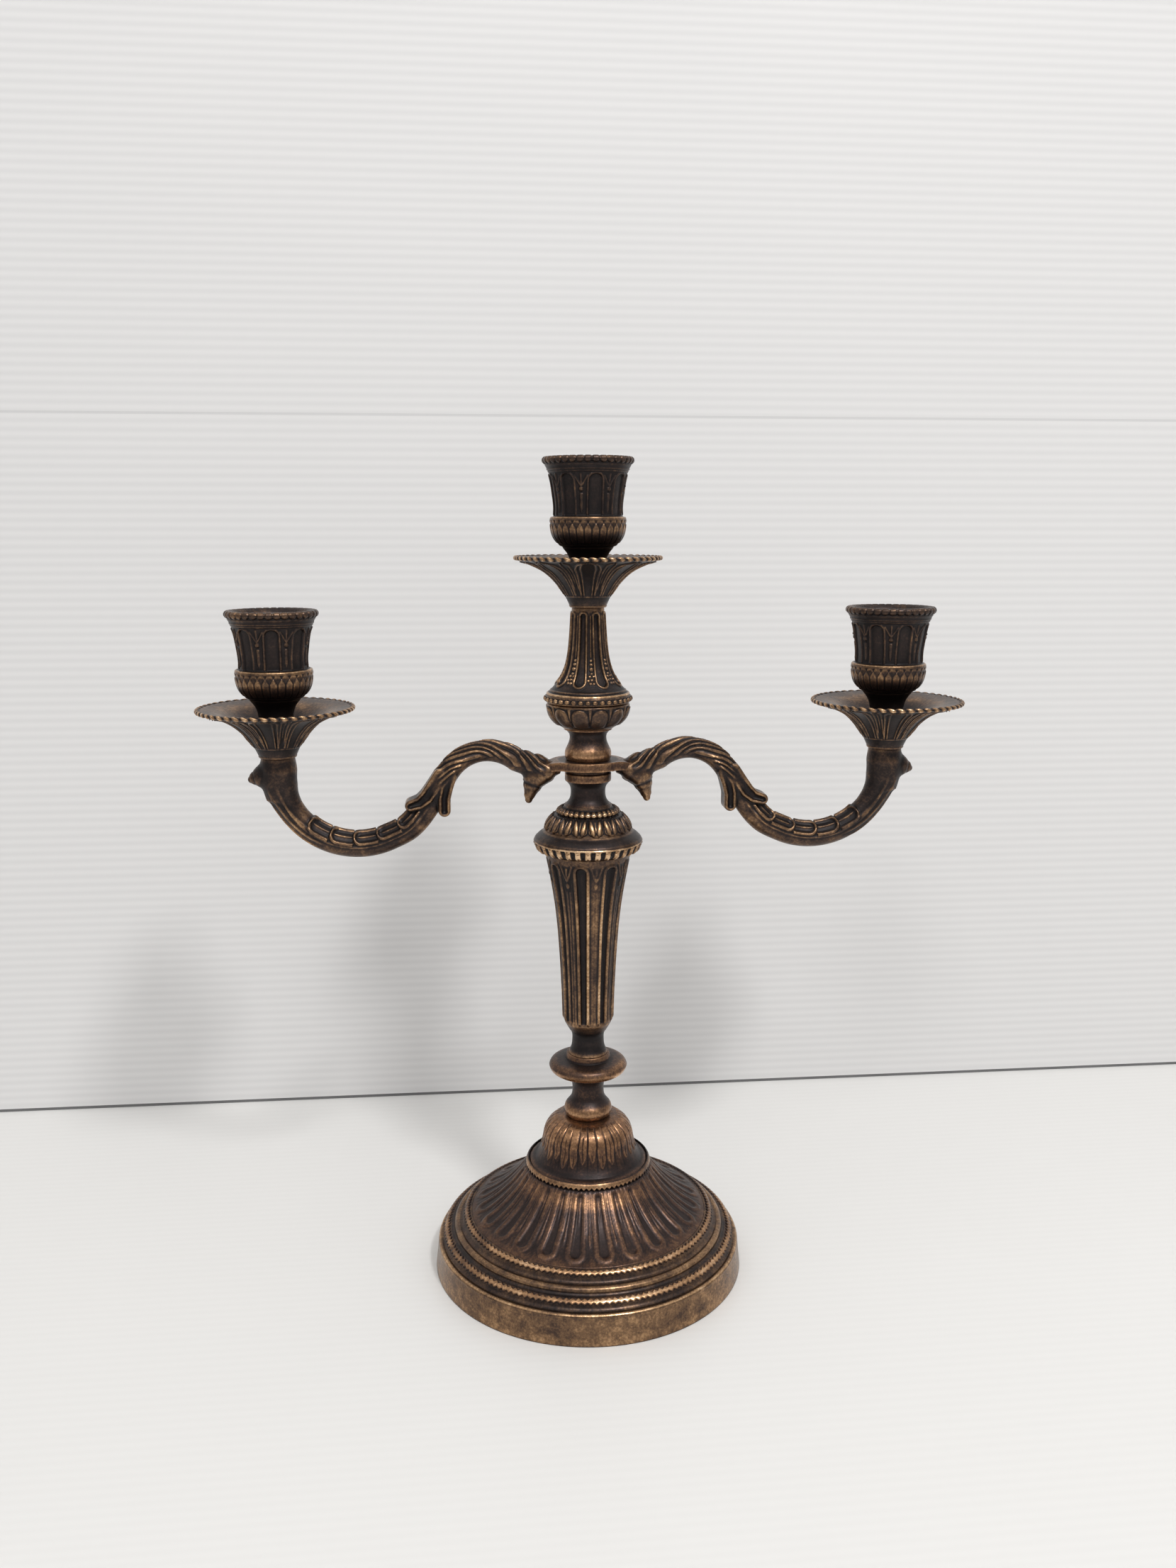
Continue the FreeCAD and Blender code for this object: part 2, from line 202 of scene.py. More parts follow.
def make_object(name, vertices, faces, attributes):
    mesh = bpy.data.meshes.new(name)
    mesh.vertices.add(len(vertices))
    mesh.vertices.foreach_set("co", (vertices * MM).astype(np.float32).ravel())
    mesh.loops.add(faces.size)
    mesh.loops.foreach_set("vertex_index", faces.astype(np.int32).ravel())
    mesh.polygons.add(len(faces))
    mesh.polygons.foreach_set("loop_start", np.arange(len(faces), dtype=np.int32) * faces.shape[1])
    mesh.update(calc_edges=True)
    mesh.shade_smooth()
    for key, values in attributes.items():
        layer = mesh.attributes.new(key, "FLOAT", "POINT")
        layer.data.foreach_set("value", values.astype(np.float32).ravel())
    made = bpy.data.objects.new(name + "_form", mesh)
    bpy.context.scene.collection.objects.link(made)
    return made


def place(made, node, body, material):
    made.data.materials.append(material)
    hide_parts(node)
    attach(made, body)
    return made


def grid_faces(rows, columns):
    i, j = np.meshgrid(np.arange(rows), np.arange(columns), indexing="ij")
    up, right = (i + 1) % rows, (j + 1) % columns
    corners = [i * columns + j, i * columns + right, up * columns + right, up * columns + j]
    return np.stack(corners, -1).reshape(-1, 4)


def grid_wear(points):
    """How far each point of a closed grid stands proud of its surroundings, in millimetres."""
    down = np.roll(points, -1, 0) - np.roll(points, 1, 0)
    round_ = np.roll(points, -1, 1) - np.roll(points, 1, 1)
    normal = np.cross(round_, down)
    normal /= np.linalg.norm(normal, axis=2, keepdims=True) + 1e-12
    smooth = points.copy()
    found = []
    for rounds in (10, 40):
        for _ in range(rounds):
            smooth = (np.roll(smooth, 1, 0) + np.roll(smooth, -1, 0)
                      + np.roll(smooth, 1, 1) + np.roll(smooth, -1, 1)) * 0.25
        found.append(((points - smooth) * normal).sum(2))
    return found


def wear_from(small, large):
    return np.clip(small / 0.07 * 0.6 + large / 0.22 * 0.5, -1, 1)


class Place:
    """Where each point of a turned piece's grid is, for its relief."""

    def __init__(self, turn, radius, height, out, up):
        self.turn = turn
        self.radius = radius
        self.height = height
        self.out = out
        self.up = up

    def across(self, count, first):
        return fold(self.turn, count, first) * self.radius


def turned(name, outline, turns, relief=None, gild_and_painted_light=None, x=0.0, seat=0.0):
    """Mesh of a turned piece.

    relief gives millimetres along the surface's normal, and gild_and_painted_light gives extra wear from 0 to
    1 with painted shade and highlight.
    """
    section = outline.points()
    run = np.roll(section, -1, 0) - np.roll(section, 1, 0)
    run /= np.hypot(*run.T)[:, None]
    turn = (np.arange(turns) * TURN / turns)[None, :]
    spot = Place(turn, section[:, :1], section[:, 1:], run[:, 1:], -run[:, :1])
    depth = np.zeros((len(section), turns)) + (relief(spot) if relief else 0)
    radius = spot.radius + depth * spot.out
    height = spot.height + depth * spot.up
    points = np.stack([x + radius * np.sin(turn), -radius * np.cos(turn),
                       seat + np.broadcast_to(height, radius.shape)], 2)
    extra = gild_and_painted_light(spot) if gild_and_painted_light else 0.0
    attributes = {"wear": wear_from(*grid_wear(points)), "gild_and_painted_light": np.broadcast_to(extra, radius.shape)}
    return make_object(name, points.reshape(-1, 3), grid_faces(*radius.shape), attributes)


def toothed_ring(name, radius, height, lean, half_width, tooth, teeth, thickness, both, turns):
    """Ring of flat band with teeth on one or both of its edges, leaning like the surface that it lies on."""
    around = (np.arange(turns) * TURN / turns)[None, :]
    rim = (np.arange(20) * TURN / 20)[:, None]
    wave = np.abs((around * teeth / TURN) % 1 - 0.5) * 2
    along = np.cos(rim) * (half_width + tooth * np.where((np.cos(rim) < 0) | both, wave, 0.5))
    above = np.sin(rim) * thickness
    lean = math.radians(lean)
    r = radius + above * math.cos(lean) - along * math.sin(lean)
    z = height + above * math.sin(lean) + along * math.cos(lean)
    points = np.stack([r * np.sin(around), -r * np.cos(around), z], 2)
    # Worn outer face of the ring, made brighter towards the front with painted light.
    crest_wear_and_front_light = rise(np.sin(rim), 0.2, 0.9) * (0.22 + 0.36 * front_lit_share(around))
    wear = np.broadcast_to(np.sin(rim) * 0.6, r.shape)
    return make_object(name, points.reshape(-1, 3), grid_faces(20, turns)[:, ::-1],
                       {"wear": wear, "gild_and_painted_light": crest_wear_and_front_light})


# ---- Finishes ---------------------------------------------------------------------------------

class Tree:
    """Short way to build a shader."""

    def __init__(self, name):
        self.material = bpy.data.materials.new(name)
        self.material.use_nodes = True
        self.nodes = self.material.node_tree.nodes
        self.links = self.material.node_tree.links
        self.shader = self.nodes["Principled BSDF"]

    def add(self, kind, **inputs):
        node = self.nodes.new(kind)
        for key, value in inputs.items():
            self.feed(node.inputs[key.replace("_", " ")], value)
        return node

    def feed(self, socket, value):
        if isinstance(value, bpy.types.NodeSocket):
            self.links.new(value, socket)
        else:
            socket.default_value = value

    def math(self, operation, a, b, clamp=False):
        node = self.nodes.new("ShaderNodeMath")
        node.operation = operation
        node.use_clamp = clamp
        self.feed(node.inputs[0], a)
        self.feed(node.inputs[1], b)
        return node.outputs[0]

    def attribute(self, name):
        node = self.nodes.new("ShaderNodeAttribute")
        node.attribute_name = name
        return node.outputs["Fac"]

    def noise(self, where, scale, detail, roughness=0.55):
        node = self.add("ShaderNodeTexNoise", Vector=where, Scale=scale, Detail=detail, Roughness=roughness)
        return self.math("SUBTRACT", node.outputs["Fac"], 0.5)

    def ramp(self, value, stops):
        node = self.add("ShaderNodeValToRGB", Fac=value)
        ramp = node.color_ramp
        while len(ramp.elements) < len(stops):
            ramp.elements.new(0.5)
        for element, (position, colour) in zip(ramp.elements, stops):
            element.position = position
            element.color = (*colour, 1)
        return node.outputs["Color"]

    def spread(self, value, low, high):
        node = self.add("ShaderNodeMapRange", Value=value, To_Min=low, To_Max=high)
        return node.outputs["Result"]


def bronze(name, bias=0.0, edge=0.24, patches=0.6, mottle=0.7, copper=0.0, rough=(0.46, 0.24)):
    """Patinated brass, dark where wear is low and bright gold where it is high."""
    tree = Tree(name)
    where = tree.add("ShaderNodeTexCoord").outputs["Object"]
    wear = tree.math("MULTIPLY", tree.attribute("wear"), edge)
    # Extra wear from the mesh, which in places also carries painted shade and painted highlights.
    wear = tree.math("ADD", wear, tree.attribute("gild_and_painted_light"))
    wear = tree.math("ADD", wear, tree.math("MULTIPLY", tree.noise(where, 32, 3), patches))
    middle = tree.noise(where, 210, 6, 0.65)
    wear = tree.math("ADD", wear, tree.math("MULTIPLY", middle, mottle))
    fine = tree.noise(where, 1100, 4, 0.6)
    wear = tree.math("ADD", wear, tree.math("MULTIPLY", fine, 0.6))
    wear = tree.math("ADD", wear, 0.36 + bias, clamp=True)
    warm = (1 + 0.35 * copper, 1 - 0.18 * copper, 1 - 0.30 * copper)
    stops = [(position, tuple(c * w for c, w in zip(colour, warm))) for position, colour in (
        (0.00, (0.011, 0.008, 0.008)),
        (0.28, (0.030, 0.021, 0.019)),
        (0.48, (0.085, 0.052, 0.036)),
        (0.66, (0.200, 0.118, 0.066)),
        (0.84, (0.420, 0.255, 0.135)),
        (1.00, (0.720, 0.500, 0.310)))]
    tree.feed(tree.shader.inputs["Base Color"], tree.ramp(wear, stops))
    gloss = tree.spread(wear, rough[0], rough[1])
    gloss = tree.math("ADD", gloss, tree.math("MULTIPLY", middle, 0.22))
    tree.feed(tree.shader.inputs["Roughness"], gloss)
    tree.feed(tree.shader.inputs["Metallic"], tree.spread(wear, 0.62, 1.0))
    pits = tree.math("ADD", tree.math("MULTIPLY", fine, 0.5), middle)
    bump = tree.add("ShaderNodeBump", Strength=0.28, Distance=0.00025, Height=pits)
    tree.feed(tree.shader.inputs["Normal"], bump.outputs["Normal"])
    return tree.material


def steel():
    tree = Tree("zinc_steel")
    where = tree.add("ShaderNodeTexCoord").outputs["Object"]
    grain = tree.noise(where, 500, 4)
    tone = tree.math("ADD", tree.math("MULTIPLY", grain, 0.5), 0.5)
    tree.feed(tree.shader.inputs["Base Color"],
              tree.ramp(tone, [(0.2, (0.33, 0.32, 0.30)), (0.8, (0.58, 0.57, 0.54))]))
    tree.feed(tree.shader.inputs["Roughness"], tree.spread(tone, 0.42, 0.28))
    tree.shader.inputs["Metallic"].default_value = 1.0
    return tree.material


BASE = bronze("base_bronze", bias=0.15, edge=0.10, patches=0.45, mottle=0.75, rough=(0.40, 0.24))
BELL = bronze("base_bell_bronze", bias=-0.03, edge=0.12, patches=0.35, mottle=0.6, copper=0.2,
              rough=(0.40, 0.22))
RINGS = bronze("base_ring_bronze", bias=-0.18, patches=0.9, copper=0.1)
TURNED = bronze("turned_bronze", bias=-0.05, copper=0.15)
CAST = bronze("cast_bronze", bias=-0.12, edge=0.36)
ARM = bronze("arm_bronze", bias=-0.06, edge=0.34, mottle=0.9)
PAN = bronze("pan_bronze", bias=-0.12, edge=0.38)
CUP = bronze("cup_bronze", bias=-0.16, edge=0.22)
STEEL = steel()

for node in ("base_washer", "base_nut", "tie_rod", "hub_washer", "left_cup_screw", "centre_cup_screw",
             "right_cup_screw"):
    cad_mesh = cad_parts[node].data
    cad_mesh.materials.clear()
    cad_mesh.materials.append(STEEL)


def seat_of(node):
    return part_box(node)[0].z / MM


def axis_of(node):
    low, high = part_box(node)
    return (low.x + high.x) / 2 / MM


# ---- Base -------------------------------------------------------------------------------------

def bell_relief(p):
    outside = p.out * 0.7 + p.up * 0.7 > 0
    luck = chance(p.turn, BELL_LEAVES)
    leaf = p.across(BELL_LEAVES, 0) + 0.12 * np.sin(p.height * 0.9 + 9 * luck)
    above = np.clip(p.height - 48.2 - 3.4 * luck, 0, None)
    half = np.minimum(1.80, 0.85 * np.sqrt(above)) * p.radius / 19.0
    leaves = 0.42 * rise(half - np.abs(leaf), -0.05, 0.30) * (1 - 0.5 * rise(p.height, 57 + 4 * luck, 63.5))
    vein_top = 3 + 9 * chance(p.turn, BELL_LEAVES, 40)
    middle = -0.40 * ridge(leaf + 0.3 * (luck - 0.5), 0.28) * band(above, 0.8, vein_top, 1.5)
    bell = (leaves + middle) * band(p.height, 47.3, 63.4, 0.8)
    tongue = p.across(TONGUES, 3)
    slope = p.radius
    edge = slot_edge(tongue, slope, 2.9 * (0.50 + 0.50 * (slope - 27) / 19), 25.6, 45.4)
    channel = 0.42 * ridge(edge - 0.4, 1.25) - 0.25 * rise(-edge, 0.4, 1.2)
    reeds = 0.30 * ridge(tongue, 0.45) * rise(35.0 - slope, 0, 5)
    dart = np.abs(p.across(TONGUES, 3 + 180 / TONGUES))
    spread = (slope - 26) / 20
    darts = 0.36 * ridge(dart, 0.35 + 0.5 * spread) * rise(41.5 - slope, 0, 3)
    darts = darts + 0.24 * ridge(dart - 1.2 * spread - 0.5, 0.35) * rise(38.0 - slope, 0, 3)
    rough = (0.08 * np.sin(p.turn * 173 + slope * 1.9) * np.sin(slope * 2.3 + p.turn * 61)
             * rise(slope, 28, 34))
    cavetto = (channel + reeds + np.where(edge > 0.7, darts + rough, 0)) * band(slope, 25.4, 46.9, 1.0)
    return np.where(outside, bell + cavetto * (p.height < 43.0), 0)


def bell_gild_and_painted_light(p):
    luck = chance(p.turn, BELL_LEAVES)
    leaf = np.abs(p.across(BELL_LEAVES, 0) + 0.12 * np.sin(p.height * 0.9 + 9 * luck))
    pitch = TURN / BELL_LEAVES * p.radius
    incised = ridge(leaf - pitch / 2, 0.40) * band(p.height, 48, 58 + 5 * luck, 1)
    tips = 0.14 * ridge(p.height - 51.2, 2.6)
    shoulder = 0.25 * rise(p.height, 50, 58) - 0.10 * rise(p.height, 62.6, 63.6)
    # Painted highlight: a band across the tongues is lightened towards the front, where the lamps are.
    front = 0.5 + 0.5 * np.cos(p.turn - math.radians(FRONT))
    tops = 0.30 * ridge(p.height - 38.8, 3.2) * front * front
    # Painted shade round the bell's toothed ring, so that its teeth stand out.
    dark = -0.12 * ridge(p.height - 46.6, 0.9) - 0.30 * ridge(p.height - 43.4, 1.6)
    return tips + shoulder + tops + dark - 0.25 * incised


def base_pieces():
    seat = seat_of("base_shell")
    bell = Outline(48.6, 23.2, 0.52)
    bell.curve((44.8, 24.9), (36.4, 30.4), (29.4, 37.4), (25.2, 42.8)).finer(0.39)
    bell.line(23.9, 43.2).arc((24.4, 44.3), (23.6, 45.4)).line(22.0, 46.0)
    bell.curve((20.0, 49.0), (18.7, 52.6), (17.9, 56.6)).arc((15.3, 61.5), (10.2, 64.0))
    bell.finer(3.0).line(3.3, 64.0).line(3.3, 61.0).line(10.4, 61.0).arc((14.2, 59.4), (16.2, 55.6))
    bell.curve((16.9, 50.6), (19.4, 44.4), (25.0, 37.2), (34.0, 28.4), (47.6, 20.6))
    made = turned("base_bell", bell, 624, bell_relief, bell_gild_and_painted_light, seat=seat)
    place(made, "base_shell", "stand", BELL)

    foot = Outline(63.5, 0, 0.5)
    foot.line(62.35, 10.6).finer(0.3).arc((62.1, 11.8), (61.2, 12.3)).line(60.4, 12.2)
    foot.arc((59.2, 13.0), (58.7, 14.5)).arc((58.2, 16.0), (57.0, 16.4))
    foot.curve((56.3, 16.5), (55.6, 17.2)).arc((55.0, 18.9), (53.2, 19.0)).curve((52.2, 19.3), (51.2, 20.9))
    foot.arc((50.2, 22.5), (48.6, 23.2))
    foot.finer(3.0).line(47.6, 20.6).line(56.0, 14.2).line(60.4, 10.2).line(61.5, 0)
    # Lighter skirt, worn top edge, a faint torus line (part wear, part painted highlight), and painted shade
    # in the notches round both toothed rings.
    made = turned("base_foot", foot, 720, seat=seat,
                  gild_and_painted_light=lambda p: (0.09 * rise(11.4 - p.height, 0, 1) + 0.24 * ridge(p.height - 11.9, 0.4)
                                  + 0.03 * ridge(p.height - 18.7, 1.2) - 0.20 * ridge(p.height - 15.6, 1.7)
                                  - 0.20 * ridge(p.height - 22.3, 1.6)) * (p.out + p.up > 0))
    place(made, "base_shell", "stand", BASE)

    rings = (("base_outer_ring", 58.75, 15.65, 55, 0.70, 0.95, OUTER_TEETH, 0.70, True, 1600),
             ("base_inner_ring", 50.45, 22.40, 55, 0.65, 0.90, INNER_TEETH, 0.70, True, 1400),
             ("base_bell_ring", 25.05, 44.4, 20, 0.70, 1.10, BELL_TEETH, 0.50, False, 936))
    for name, radius, height, lean, half, tooth, teeth, thick, both, turns in rings:
        made = toothed_ring(name, radius, seat + height, lean, half, tooth, teeth, thick, both, turns)
        place(made, "base_shell", "stand", RINGS)


# ---- Stem -------------------------------------------------------------------------------------

BORE = 3.25                   # hole for the tie rod through the stem
CUP_SCREW_HOLE = 2.05
CUP_FOOT = 7.1
CUP_FLOOR = 16.0
CUP_HEIGHT = 44.7
CANDLE_BORE = 11.0
SCREW_HEAD_ROOM = 4.2
SCREW_HEAD_SEAT = 13.2


def knop_piece():
    outline = Outline(BORE, 0, 0.3).line(8.4, 0).arc((9.7, 3.0), (8.6, 5.8))
    outline.curve((6.9, 8.2), (6.4, 11.4), (6.7, 14.6), (8.0, 17.4)).line(9.4, 18.2)
    outline.curve((12.6, 18.9), (15.2, 20.4), (15.9, 22.1)).curve((15.1, 23.6), (12.0, 24.7), (9.2, 25.1))
    outline.line(8.6, 27.3).finer(2).line(BORE, 27.3)
    made = turned("knop", outline, 320, seat=seat_of("knop"),
                  relief=lambda p: 0.18 * ridge(p.height - 18.2, 0.35) - 0.15 * ridge(p.height - 17.2, 0.3),
                  gild_and_painted_light=lambda p: 0.34 * ridge(p.height - 20.4, 2.2) + 0.16 * ridge(p.height - 3.0, 2.5))
    place(made, "knop", "stand", TURNED)


def column_wear(p):
    """1 on the band at the front right, whose ornament is worn away."""
    return rise(np.cos(p.turn - math.radians(FRONT + 12.5)), 0.93, 0.96)


def column_relief(p):
    outside = (p.out > 0.5) & (p.height > 10)
    scale = p.radius / 14.5
    arch = p.across(COLUMN_FLUTES, FRONT - 10)
    edge = slot_edge(arch, p.height, 2.45 * scale, 2.0, 81.6)
    arches = 0.50 * ridge(edge, 0.80) - 0.90 * rise(-edge, 0.35, 1.0)
    rib = p.across(COLUMN_FLUTES, FRONT - 10 + 22.5)
    reeds = 0.12 * ridge(np.abs(rib) - 0.70 * scale, 0.50) * rise(71.5 - p.height, 0, 1.0)
    groove = -0.22 * ridge(np.abs(rib) - 2.10 * scale, 0.32) * rise(74 - p.height, 0, 4)
    drop = 0.60 * bead(rib / 0.75, (p.height - 73.4) / 1.35, 1.0)
    up = p.height - 75.4
    lily = 0.50 * ridge(np.abs(rib) - 0.52 * np.clip(up, 0, 9) ** 0.85, 0.60) * band(p.height, 75.0, 82.5, 1)
    bud = 0.45 * ridge(rib, 0.7) * band(p.height, 76.0, 80.5, 1.5)
    plain = np.where(edge > 0.5, reeds + groove + drop + lily + bud, 0) * (1 - 0.8 * column_wear(p))
    return np.where(outside, (arches + plain) * rise(p.height, 14.2, 15.6), 0)


def column_piece():
    outline = Outline(BORE, 0, 0.42).line(8.0, 0).curve((6.9, 2.4), (6.4, 6.0), (6.7, 8.8), (7.7, 10.4))
    outline.line(9.5, 13.6).line(9.9, 15.2)
    outline.curve((10.2, 26.0), (11.0, 42.0), (12.6, 61.0), (14.8, 75.0), (16.6, 84.4))
    outline.finer(3).line(BORE, 84.4)
    made = turned("fluted_column", outline, 384, column_relief, seat=seat_of("fluted_column"),
                  gild_and_painted_light=lambda p: (0.04 * band(p.height, 15, 62, 8) - 0.12 * rise(p.height, 64, 78)
                                  + 0.19 * column_wear(p) * band(p.height, 16, 76, 6)) * (p.out > 0.5))
    place(made, "fluted_column", "stand", CAST)


def collar_relief(p):
    block = np.abs(p.across(COLLAR_BLOCKS, FRONT))
    blocks = (0.85 * np.sqrt(ridge(block, 1.25)) - 0.30) * band(p.height, 0.95, 4.35, 0.5)
    lines = 0.24 * ridge(p.height - 4.75, 0.42) + 0.18 * ridge(p.height - 0.6, 0.35)
    return np.where(p.out > 0.2, blocks + lines, 0)


def collar_gild_and_front_light(p):
    block = np.abs(p.across(COLLAR_BLOCKS, FRONT))
    # Worn block faces and top line, made brighter towards the front with painted light.
    faces = (1 - rise(block, 0.9, 1.25)) * band(p.height, 1.0, 4.2, 0.5)
    return (0.50 * faces + 0.55 * ridge(p.height - 4.75, 0.6)) * front_lit_share(p.turn) * (p.out > 0.2) - 0.10


def collar_piece():
    outline = Outline(BORE, 0, 1.5).line(16.4, 0).finer(0.18).line(16.8, 0.8)
    outline.line(18.9, 0.9).curve((20.1, 1.9), (20.7, 3.6)).arc((21.3, 4.7), (20.8, 6.1))
    outline.curve((19.4, 7.4), (18.0, 8.4), (17.3, 9.1)).finer(1.5).line(BORE, 9.1)
    made = turned("beaded_collar", outline, 792, collar_relief, collar_gild_and_front_light, seat=seat_of("beaded_collar"))
    place(made, "beaded_collar", "stand", CAST)


def dome_relief(p):
    leaf = p.across(DOME_LEAVES, FRONT - 11.5)
    low = p.height
    half = (math.pi / DOME_LEAVES) * p.radius
    lobe = np.abs(leaf) - half * (0.28 + 0.06 * low)
    size = half * 0.31 * np.sqrt(np.clip(1 - ((low - 3.1) / 2.7) ** 2, 0.02, 1))
    lobes = 0.70 * np.sqrt(ridge(lobe, size)) * band(low, 0.5, 5.7, 0.5)
    middle = 0.25 * ridge(leaf, 0.28) * band(low, 1.8, 5.6, 1.0)
    blade = 0.45 * rise(half * np.sqrt(np.clip(low / 1.8, 0, 1)) - 0.25 - np.abs(leaf), -0.1, 0.25)
    leaves = (blade + lobes + middle - 0.50) * (p.height < 6.4)
    beads = (0.95 * bead(p.across(DOME_BEADS, FRONT), (p.height - 7.45) * 0.85, 1.12)
             - 0.50 * band(p.height, 6.5, 8.4, 0.3))
    return np.where(p.out + p.up > 0.1, leaves + np.where(p.height > 6.4, beads, 0), 0) * (p.radius > 9.7)


def dome_gild_and_front_light(p):
    # Worn leaves and beads, made brighter towards the front with painted light.
    raised = (0.30 * ridge(p.height - 3.1, 2.6) + 0.48 * ridge(p.height - 7.5, 1.0)) * front_lit_share(p.turn)
    return raised - 0.10 - 0.15 * ridge(p.height - 6.0, 0.6)


def dome_piece():
    outline = Outline(BORE, 0, 1.5).line(17.1, 0).finer(0.18).arc((15.9, 3.2), (12.8, 6.3)).line(11.3, 6.5)
    outline.arc((12.1, 7.4), (11.4, 8.4)).line(9.6, 8.8).line(9.2, 10.1).finer(1.5).line(BORE, 10.1)
    made = turned("leaf_dome", outline, 720, dome_relief, dome_gild_and_front_light, seat=seat_of("leaf_dome"))
    place(made, "leaf_dome", "stand", CAST)


def neck_piece():
    outline = Outline(BORE, 0, 0.25).line(8.9, 0).curve((7.4, 1.9), (6.8, 4.9), (7.2, 7.4), (8.6, 9.2))
    outline.arc((9.0, 9.5), (9.1, 10.0)).line(9.1, 12.4).line(8.6, 13.0).line(8.6, 13.6)
    outline.finer(2).line(BORE, 13.6)
    made = turned("neck_spool", outline, 300, seat=seat_of("neck_spool"),
                  gild_and_painted_light=lambda p: 0.26 * band(p.height, 9.6, 12.6, 0.6) - 0.06)
    place(made, "neck_spool", "stand", TURNED)


def spool_piece():
    outline = Outline(BORE, 0, 0.25).line(8.5, 0).arc((9.1, 2.4), (8.7, 4.3))
    outline.curve((7.8, 6.2), (7.2, 8.3), (7.4, 10.2), (8.6, 11.7)).line(9.4, 12.0).line(9.4, 12.6)
    outline.finer(2).line(BORE, 12.6)
    made = turned("upper_spool", outline, 300, seat=seat_of("upper_spool"),
                  gild_and_painted_light=lambda p: 0.30 * ridge(p.height - 2.6, 4.2) + 0.12 * ridge(p.height - 11.9, 0.8)
                  + 0.13 * ridge(p.height - 8.8, 4.0))
    place(made, "upper_spool", "stand", TURNED)


def bowl_relief(p):
    petal = np.abs(p.across(BOWL_PETALS, FRONT - 12))
    half = math.pi / BOWL_PETALS * p.radius
    width = half * 0.90 * np.sqrt(np.clip(1 - (np.clip(p.height - 5.0, 0, None) / 3.7) ** 2, 0, 1))
    inside = np.sqrt(ridge(petal, np.maximum(width, 0.05)))
    petals = 0.90 * inside * (p.height < 8.7) - 0.45
    dart = 0.42 * ridge(half - petal, 0.20 * half * np.clip((p.height - 3.0) / 4, 0.1, 1)) * (p.height > 3.0)
    ring = band(p.height, 1.5, 9.0, 0.8)
    return np.where(p.out > 0.15, (petals + dart) * ring, 0)


def bowl_piece():
    outline = Outline(BORE, 0, 1.5).line(9.6, 0).finer(0.2).curve((12.5, 1.9), (15.1, 4.8), (16.2, 8.2))
    outline.arc((15.9, 9.5), (15.2, 10.0)).finer(1.5).line(BORE, 10.0)
    made = turned("gadroon_bowl", outline, 600, bowl_relief, seat=seat_of("gadroon_bowl"),
                  gild_and_painted_light=lambda p: (0.09 * band(p.height, 2, 7.5, 2) * (p.out > 0)
                                  + 0.2 * ridge(p.height - 0.5, 0.7)))
    place(made, "gadroon_bowl", "stand", CAST)


def stem_relief(p):
    beads = (0.72 * bead(p.across(STEM_BEADS, FRONT), p.height - 1.55, 0.98)
             - 0.30 * band(p.height, 0.5, 2.6, 0.3))
    lines = (0.38 * ridge(p.height - 3.55, 0.50) + 0.22 * ridge(p.height - 4.75, 0.32)
             - 0.2 * ridge(p.height - 4.2, 0.25))
    flute = p.across(STEM_FLUTES, FRONT - 16.5)
    edge = slot_edge(flute, p.height, 0.205 * p.radius, 6.6, 34.6)
    flutes = 0.52 * ridge(edge, 0.56) - 0.55 * rise(-edge, 0.25, 0.8)
    rib = p.across(STEM_FLUTES, FRONT + 8)
    line = 0.30 * ridge(rib, 0.32) * band(p.height, 17.5, 33.5, 1)
    drops = 0
    for height, size in ((16.6, 0.62), (15.1, 0.72), (13.4, 0.82)):
        drops = drops + 0.75 * size * bead(rib, p.height - height, size)
    for height, side in ((11.7, 0.0), (10.7, 0.75), (9.5, 0.0), (9.3, 1.35), (8.2, 0.65)):
        drops = drops + 0.45 * bead(np.abs(rib) - side, p.height - height, 0.62)
    upper = (flutes + np.where(edge > 0.3, line + drops, 0)) * rise(p.height, 5.6, 6.4)
    return np.where(p.out > 0.3, np.where(p.height < 3.0, beads, 0) + lines + upper, 0)


def stem_piece():
    outline = Outline(3.0, 0, 1.5).line(15.8, 0).finer(0.17).arc((16.9, 1.6), (16.0, 3.2)).finer(0.3)
    outline.curve((12.9, 6.6), (10.2, 10.2), (8.3, 15.0), (7.2, 21.4), (6.6, 29.0), (6.2, 36.3))
    outline.finer(2).line(2.0, 36.3).line(2.0, 18.5).line(3.0, 18.5)
    made = turned("centre_stem", outline, 560, stem_relief, seat=seat_of("centre_stem"),
                  gild_and_painted_light=lambda p: 0.30 * ridge(p.height - 3.55, 0.7) + 0.16 * ridge(p.height - 1.6, 1.2)
                  + 0.10 * band(p.height, 6, 34, 3))
    place(made, "centre_stem", "stand", CAST)


# ---- Pans and cups ----------------------------------------------------------------------------

